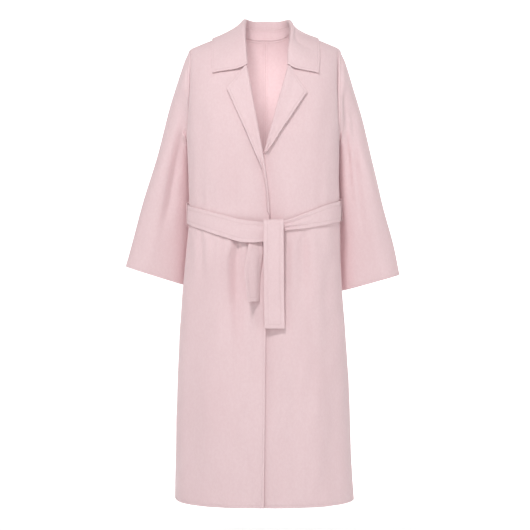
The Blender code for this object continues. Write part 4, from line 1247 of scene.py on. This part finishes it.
@dataclass
class CollarFall(SewnPiece):
    """The turned-down leaf of the collar, with the fold over its roll line."""

    def wall(self) -> ClothWall:
        """Both halves in one grid; along the seam with the band it takes the band's normals."""
        points = both_halves(COLLAR_FORM, "fall")
        seam = both_halves(COLLAR_FORM, "seam")
        normals = normals_facing(points, COLLAR_FORM.stations, -2, (0, 1, 0))
        normals[:, 0] = seam * np.sign((seam * normals[:, 0]).sum(axis=-1, keepdims=True))
        return ClothWall(self.name, points, normals)


@dataclass
class CollarStand(SewnPiece):
    """The band between the neckline and the leaf."""

    def wall(self) -> ClothWall:
        """Both halves in one grid, from the station where the leaf no longer starts on the neckline."""
        first = int(COLLAR_FORM.stand_from * COLLAR_FORM.stations)
        points = both_halves(COLLAR_FORM, "stand", first)
        seam = both_halves(COLLAR_FORM, "seam", first)
        normals = normals_facing(points, len(points) // 2, 0, (0, 1, 0))
        seam = seam * np.sign((seam * normals[:, 1]).sum(axis=-1, keepdims=True))
        return ClothWall(self.name, points, np.broadcast_to(seam[:, None], points.shape).copy())


# --------------------------------------------------------------------------------------------------
# Belt


@dataclass
class BeltWaist(SewnPiece):
    """The belt round the waist, over the coat, gathered towards the crossing at the front."""

    stations: Rows = (
        # angle from the front crossing to the wearer's right and on round, height, width, stand-off
        (-3, -0.5000, 0.044, 0.0170),
        (4, -0.5010, 0.050, 0.0165),
        (12, -0.4985, 0.053, 0.0130),
        (25, -0.4870, 0.052, 0.0058),
        (45, -0.4720, 0.049, 0.0040),
        (90, -0.4520, 0.046, 0.0040),
        (135, -0.4400, 0.050, 0.0038),
        (180, -0.4350, 0.050, 0.0038),
        (225, -0.4360, 0.050, 0.0038),
        (270, -0.4430, 0.048, 0.0040),
        (315, -0.4600, 0.046, 0.0040),
        (335, -0.4740, 0.036, 0.0044),
        (348, -0.4840, 0.025, 0.0050),
        (359, -0.4930, 0.024, 0.0052),
        (364, -0.5000, 0.026, 0.0052),
    )
    count: int = 520
    across: int = 26

    def wall(self) -> ClothWall:
        """A ring on the figure's level sections, moved out; lengthwise pleats, cosines across the
        width, deepen towards the crossing."""
        f = FIGURE
        around = np.linspace(self.stations[0][0], self.stations[-1][0], self.count)
        rows = smooth(self.stations, around)
        share = np.linspace(-0.5, 0.5, self.across + 1)
        z = rows[:, 1][:, None] + rows[:, 2][:, None] * share[None]
        turned = (np.radians(90 - around)[:, None] + 0 * z) % (2 * math.pi)
        q = np.where(turned <= math.pi, turned, 2 * math.pi - turned)
        front = f.point(Face.FRONT, q, z, math.pi / 2)
        back = f.point(Face.BACK, q, z, math.pi / 2)
        points = np.where((turned <= math.pi)[..., None], front, back)
        normals = unit(normals_facing(points, len(points) // 4, 0, (-1, 0, 0)) * [1, 1, 0])
        near_left = ease((around - 318) / 34)[:, None]
        near_right = ease((26 - around) / 26)[:, None]
        pleats = 0.0013 * near_left * np.cos(2 * math.pi * 2.1 * share + 0.6)[None]
        pleats = pleats + 0.0012 * near_right * np.cos(2 * math.pi * 1.3 * share - 0.5)[None]
        slack = 0.0006 * np.sin(np.radians(around) * 13)[:, None] * (4 * share**2)[None]
        off = rows[:, 3][:, None] + pleats + slack + 0.0006 * (1 - 4 * share**2)[None]
        moved = points + normals * off[..., None]
        return ClothWall(self.name, moved, normals_like(moved, normals), inset=STRIP_INSET)


@dataclass
class BeltTail(SewnPiece):
    """A hanging end of the belt."""

    stations: Rows = ()              # x, y, z of the middle, width, turn from the picture plane
    count: int = 150
    across: int = 26
    cup: float = 0.0012              # how far its edges curl forwards

    def wall(self) -> ClothWall:
        """A strip carried along its middle line; its width turns as the table says, and its
        cross-section is a shallow parabola with a slow wave along it."""
        rows = np.array(self.stations)
        length = path_length(rows[:, :3])
        s = np.linspace(0, length[-1], self.count)
        at = smooth(np.column_stack([length, rows]), s)[:, 1:]
        turned = np.radians(at[:, 4])
        across = np.stack([np.cos(turned), np.sin(turned), 0 * turned], axis=-1)
        share = np.linspace(-0.5, 0.5, self.across + 1)
        points = at[:, None, :3] + across[:, None] * (at[:, 3][:, None] * share[None])[..., None]
        normals = normals_facing(points, self.count // 2, 0, (0, -1, 0))
        grow = ease(s / 0.08)[:, None]
        bend = self.cup * (4 * share[None] ** 2 - 0.3) * grow
        bend = bend + 0.0010 * np.sin(s * 38 + 0.8)[:, None] * share[None] * 2 * grow
        moved = points + normals * bend[..., None]
        return ClothWall(self.name, moved, normals_like(moved, normals), inset=STRIP_INSET)


@dataclass
class BeltLoop(SewnPiece):
    """A carrier at the side seam, over the belt and held at both its ends."""

    side: Side = Side.RIGHT
    belt_z: float = -0.4520
    half_height: float = 0.031
    off: float = 0.0078
    ends_off: float = 0.0021
    width: float = 0.010
    rows: int = 64

    def wall(self) -> ClothWall:
        """A narrow strap whose stand-off is a smooth step up from each end."""
        swing = np.linspace(-1, 1, self.rows + 1)
        z = self.belt_z + self.half_height * swing
        half = smooth(FIGURE.levels, z)[:, 1 if self.side is Side.RIGHT else 2]
        rise = self.ends_off + (self.off - self.ends_off) * ease((1 - np.abs(swing)) / 0.2)
        middle = np.stack([int(self.side) * (half + rise), 0 * z, z], axis=-1)
        share = np.linspace(-0.5, 0.5, 9)
        y = np.array([0.0, 1.0, 0.0])
        points = middle[:, None] + y * (self.width * share)[None, :, None]
        normals = normals_facing(points, self.rows // 2, 4, (int(self.side), 0, 0))
        return ClothWall(self.name, points, normals, thickness=LOOP_CLOTH, inset=STRIP_INSET)


# --------------------------------------------------------------------------------------------------
# The coat and the studio

TOP_EDGE: Rows = (
    (-1.172, -0.0005),
    (-0.745, 0.0036),
    (-0.560, 0.0085),
    (-0.477, 0.0110),
    (-0.399, 0.0061),
    (-0.3125, -0.0061),
    (-0.0927, -0.0463),
)
UNDER_EDGE: Rows = (
    (-1.172, -0.042),
    (-0.745, -0.037),
    (-0.477, -0.030),
    (-0.380, -0.018),
    (-0.318, -0.0065),
    (-0.0927, 0.0556),
)
TOP_LAPEL: Rows = (
    (-0.477, 0.0060),
    (-0.399, 0.0012),
    (-0.347, -0.0085),
    (-0.149, -0.0940),
)
UNDER_LAPEL: Rows = (
    (-0.318, -0.0035),
    (-0.157, 0.1005),
)
SLEEVE_RIGHT: Rows = (
    (0.187, -0.033, 0.1985, -0.264, 0.050, 0.004),
    (0.2060, -0.066, 0.2000, -0.272, 0.052, 0.012),
    (0.2330, -0.143, 0.1985, -0.294, 0.056, 0.036),
    (0.2650, -0.250, 0.1945, -0.330, 0.060, 0.054),
    (0.2935, -0.353, 0.1965, -0.400, 0.058, 0.054),
    (0.3210, -0.449, 0.1985, -0.475, 0.054, 0.056),
    (0.3420, -0.523, 0.2035, -0.555, 0.049, 0.056),
    (0.3595, -0.586, 0.2105, -0.633, 0.045, 0.055),
)
SLEEVE_LEFT: Rows = (
    (0.183, -0.033, 0.1865, -0.264, 0.050, 0.004),
    (0.2030, -0.066, 0.1892, -0.272, 0.052, 0.012),
    (0.2290, -0.143, 0.1882, -0.294, 0.056, 0.036),
    (0.2575, -0.250, 0.1835, -0.330, 0.060, 0.054),
    (0.2835, -0.353, 0.1860, -0.400, 0.058, 0.054),
    (0.3075, -0.449, 0.1915, -0.475, 0.054, 0.056),
    (0.3260, -0.530, 0.1945, -0.565, 0.049, 0.056),
    (0.3430, -0.608, 0.1985, -0.648, 0.045, 0.055),
)
RIGHT_SLEEVE_CREASES = (
    Crease(((-0.1960, -0.130), (-0.2060, -0.220), (-0.2256, -0.315), (-0.2477, -0.442), (-0.2720, -0.540)),
           0.013, 0.0105, lean=2.0, fade=(0.30, 0.22)),
    Crease(((-0.2350, -0.240), (-0.2560, -0.350), (-0.2780, -0.480), (-0.3000, -0.640)), 0.022, -0.0035,
           fade=(0.3, 0.4)),
    Crease(((-0.2060, -0.330), (-0.2120, -0.420), (-0.2200, -0.560)), 0.014, 0.0030, fade=(0.4, 0.3)),
)
LEFT_SLEEVE_CREASES = (
    Crease(((0.2020, -0.090), (0.2050, -0.200), (0.2120, -0.340), (0.2300, -0.480)), 0.010, 0.0060, lean=0.7,
           fade=(0.35, 0.2)),
    Crease(((0.2170, -0.120), (0.2230, -0.240), (0.2330, -0.370), (0.2560, -0.540)), 0.010, 0.0045,
           fade=(0.35, 0.3)),
    Crease(((0.2400, -0.220), (0.2560, -0.350), (0.2760, -0.480), (0.2960, -0.640)), 0.022, -0.0035,
           fade=(0.3, 0.4)),
)
BACK_SLEEVE_FOLDS = (
    ((0.2050, -0.150), (0.2200, -0.260), (0.2350, -0.380), (0.2600, -0.540)),
    ((0.2350, -0.140), (0.2500, -0.260), (0.2750, -0.420), (0.3050, -0.620)),
)
TAIL_FRONT: Rows = (
    (0.0195, -0.1225, -0.5130, 0.0400, 0),
    (0.0195, -0.1225, -0.4950, 0.0400, 0),
    (0.0195, -0.1242, -0.4790, 0.0430, 0),
    (0.0195, -0.1310, -0.4715, 0.0460, 0),
    (0.0195, -0.1370, -0.4770, 0.0476, 0),
    (0.0195, -0.1390, -0.4950, 0.0476, 0),
    (0.0198, -0.1400, -0.5500, 0.0476, 0),
    (0.0203, -0.1415, -0.6200, 0.0476, 0),
    (0.0212, -0.1435, -0.6900, 0.0476, -1),
    (0.0222, -0.1440, -0.7360, 0.0476, -2),
)
TAIL_UNDER: Rows = (
    (-0.0225, -0.1196, -0.5138, 0.0280, 2),
    (-0.0240, -0.1240, -0.5300, 0.0330, 12),
    (-0.0275, -0.1345, -0.5600, 0.0430, 30),
    (-0.0320, -0.1410, -0.5980, 0.0470, 37),
    (-0.0310, -0.1450, -0.6350, 0.0470, 47),
    (-0.0300, -0.1500, -0.6700, 0.0450, 56),
)


def mirrored(lines: Sequence[Rows], side: Side, width: float, depth: float) -> tuple[Crease, ...]:
    """Upright creases along lines given for the wearer's left, on the side asked for."""
    return tuple(
        Crease(tuple((int(side) * x, z) for x, z in line), width, depth, fade=(0.35, 0.3)) for line in lines
    )


@dataclass
class Coat:
    """The whole coat: which pieces there are, with each one's cut."""

    pieces: list[SewnPiece] = field(default_factory=list)

    def lay_out(self) -> None:
        """Lists the sewn pieces in the order that they are put on."""
        hung = Hold.HUNG
        add = self.pieces.append
        for side in Side:
            word = side.word
            area = 0.316 if side is Side.RIGHT else 0.299
            add(BackPanel(f"wool_back_{word}", f"back_{word}", (0.310, 1.215), area, hung,
                          ("worn_on_shoulders",), side=side))
        add(FrontPanel("wool_front_left", "front_left", (0.360, 1.200), 0.336, hung, ("worn_on_shoulders",),
                       side=Side.LEFT, drape=FRONT_LEFT_DRAPE, edge=UNDER_EDGE, lapel=UNDER_LAPEL,
                       break_z=-0.318, cover=TOP_EDGE, drop=0.0060))
        add(FrontPanel("wool_front_right", "front_right", (0.330, 1.200), 0.320, hung, ("wool_front_left",),
                       side=Side.RIGHT, drape=FRONT_RIGHT_DRAPE, edge=TOP_EDGE, lapel=TOP_LAPEL,
                       break_z=-0.477))
        for side, rings, creases in (
            (Side.RIGHT, SLEEVE_RIGHT, RIGHT_SLEEVE_CREASES),
            (Side.LEFT, SLEEVE_LEFT, LEFT_SLEEVE_CREASES),
        ):
            back = mirrored(BACK_SLEEVE_FOLDS, side, 0.018, 0.0060)
            waves = Unevenness(20 + int(side), 0.080, 0.0014, 2.5)
            add(Sleeve(f"wool_sleeve_{side.word}", f"sleeve_{side.word}", (0.470, 0.620), 0.168, hung,
                       (f"wool_back_{side.word}", f"wool_front_{side.word}"), side=side, rings=rings,
                       creases=creases, back_creases=back, waves=waves))
        add(CollarStand("wool_collar_stand", "collar_stand", (0.300, 0.032), 0.0060, Hold.FOLDED,
                        ("wool_back_right", "wool_back_left")))
        add(CollarFall("wool_collar_fall", "collar_fall", (0.620, 0.165), 0.0630, Hold.FOLDED,
                       ("wool_collar_stand",)))
        belt = {"finish": BELT_WOOL, "slot": "belt_wool"}
        add(BeltWaist("wool_belt_waist", "belt_waist", (0.049, 1.030), None, Hold.STRETCHED,
                      ("wool_front_right", "wool_front_left", "wool_back_right", "wool_back_left"), **belt))
        add(BeltTail("wool_belt_tail_under", "belt_tail_under", (0.046, 0.170), None, hung,
                     ("wool_belt_waist",), stations=TAIL_UNDER, **belt))
        add(BeltTail("wool_belt_tail_front", "belt_tail_front", (0.0476, 0.320), None, hung,
                     ("wool_belt_waist",), stations=TAIL_FRONT, **belt))
        for side, height in ((Side.RIGHT, -0.4520), (Side.LEFT, -0.4430)):
            add(BeltLoop(f"wool_belt_loop_{side.word}", f"belt_loop_{side.word}", (0.010, 0.072), None,
                         Hold.STRETCHED, ("wool_belt_waist",), side=side, belt_z=height,
                         finish=COAT_WOOL, slot="belt_wool"))

    def dress(self) -> None:
        """Builds and dresses every piece."""
        for piece in self.pieces:
            piece.dress()


@dataclass(frozen=True)
class SoftLight:
    """A soft box: where it stands, what it points at, its size and its power."""

    name: str
    place: tuple[float, float, float]
    size: float
    power: float
    aim: tuple[float, float, float] = (0.0, 0.0, -0.6)

    def switch_on(self) -> None:
        """Makes the light."""
        data = bpy.data.lights.new(self.name, "AREA")
        data.shape = "SQUARE"
        data.size = self.size
        data.energy = self.power
        light = bpy.data.objects.new(self.name, data)
        bpy.context.scene.collection.objects.link(light)
        offset = np.array(self.aim) - np.array(self.place)
        light.location = self.place
        light.visible_camera = False
        light.rotation_euler = (
            math.atan2(math.hypot(offset[0], offset[1]), -offset[2]),
            0,
            math.atan2(-offset[0], offset[1]),
        )


@dataclass(frozen=True)
class Studio:
    """A pale seamless floor, soft light, and the camera level with the coat's middle."""

    distance: float = 3.4
    camera_x: float = -0.0013
    camera_z: float = -0.582
    view_width: float = 1.3462      # at the coat's middle
    sensor: float = 36.0
    floor_z: float = -1.46
    sky: float = 0.225
    lights: tuple[SoftLight, ...] = (
        SoftLight("key_light", (-0.6, -2.5, 2.0), 0.6, 60, (0.0, 0.0, -0.54)),
        SoftLight("front_light", (0.1, -4.0, 0.1), 2.0, 31),
        SoftLight("left_light", (-3.0, -1.2, -0.5), 2.0, 18),
        SoftLight("right_light", (3.0, -1.2, -0.5), 2.0, 26),
        SoftLight("back_light", (0.6, 2.8, 1.2), 2.2, 30),
        SoftLight("inside_light", (0.006, -0.050, -0.130), 0.14, 0.16, (0.006, 0.1, -0.16)),
    )

    def build(self) -> None:
        """Sets up the floor, the sky, the lights and the camera."""
        self.floor()
        world = bpy.data.worlds.new("pale_sky")
        world.use_nodes = True
        world.node_tree.nodes["Background"].inputs["Color"].default_value = (1, 1, 1, 1)
        world.node_tree.nodes["Background"].inputs["Strength"].default_value = self.sky
        bpy.context.scene.world = world
        for light in self.lights:
            light.switch_on()
        data = bpy.data.cameras.new("photo_camera")
        data.sensor_width = self.sensor
        data.lens = self.sensor * self.distance / self.view_width
        camera = bpy.data.objects.new("photo_camera", data)
        bpy.context.scene.collection.objects.link(camera)
        camera.location = (self.camera_x, -self.distance, self.camera_z)
        camera.rotation_euler = (math.pi / 2, 0, 0)
        bpy.context.scene.camera = camera
        bpy.context.scene.view_settings.view_transform = "Standard"
        bpy.context.scene.view_settings.look = "None"

    def floor(self) -> None:
        """A floor that sweeps up into a wall behind: its profile is flat, a quarter circle, upright."""
        sweep = np.linspace(0, math.pi / 2, 24)
        radius = 1.6
        y = np.r_[-6.0, 3.0 + radius * np.sin(sweep), 3.0 + radius]
        z = np.r_[0.0, radius * (1 - np.cos(sweep)), 6.0] + self.floor_z
        x = np.linspace(-7, 7, 9)
        points = np.stack(np.broadcast_arrays(x[None], y[:, None], z[:, None]), axis=-1)
        index = np.arange(points.shape[0] * 9).reshape(-1, 9)
        quads = np.stack([index[:-1, :-1], index[:-1, 1:], index[1:, 1:], index[1:, :-1]], axis=-1)
        mesh = bpy.data.meshes.new("floor")
        mesh.from_pydata(points.reshape(-1, 3).tolist(), [], quads.reshape(-1, 4).tolist())
        mesh.shade_smooth()
        floor = bpy.data.objects.new("floor", mesh)
        bpy.context.scene.collection.objects.link(floor)
        floor.data.materials.append(PlainFinish("pale_floor", (0.82, 0.82, 0.82), 0.75).material())


def main() -> None:
    """Builds the studio and the coat, and reports each piece."""
    logging.basicConfig(level=logging.INFO, format="%(name)s: %(message)s")
    Studio().build()
    coat = Coat()
    coat.lay_out()
    coat.dress()
    LOG.info("%d pieces dressed", len(coat.pieces))


if __name__ == "__main__":
    main()
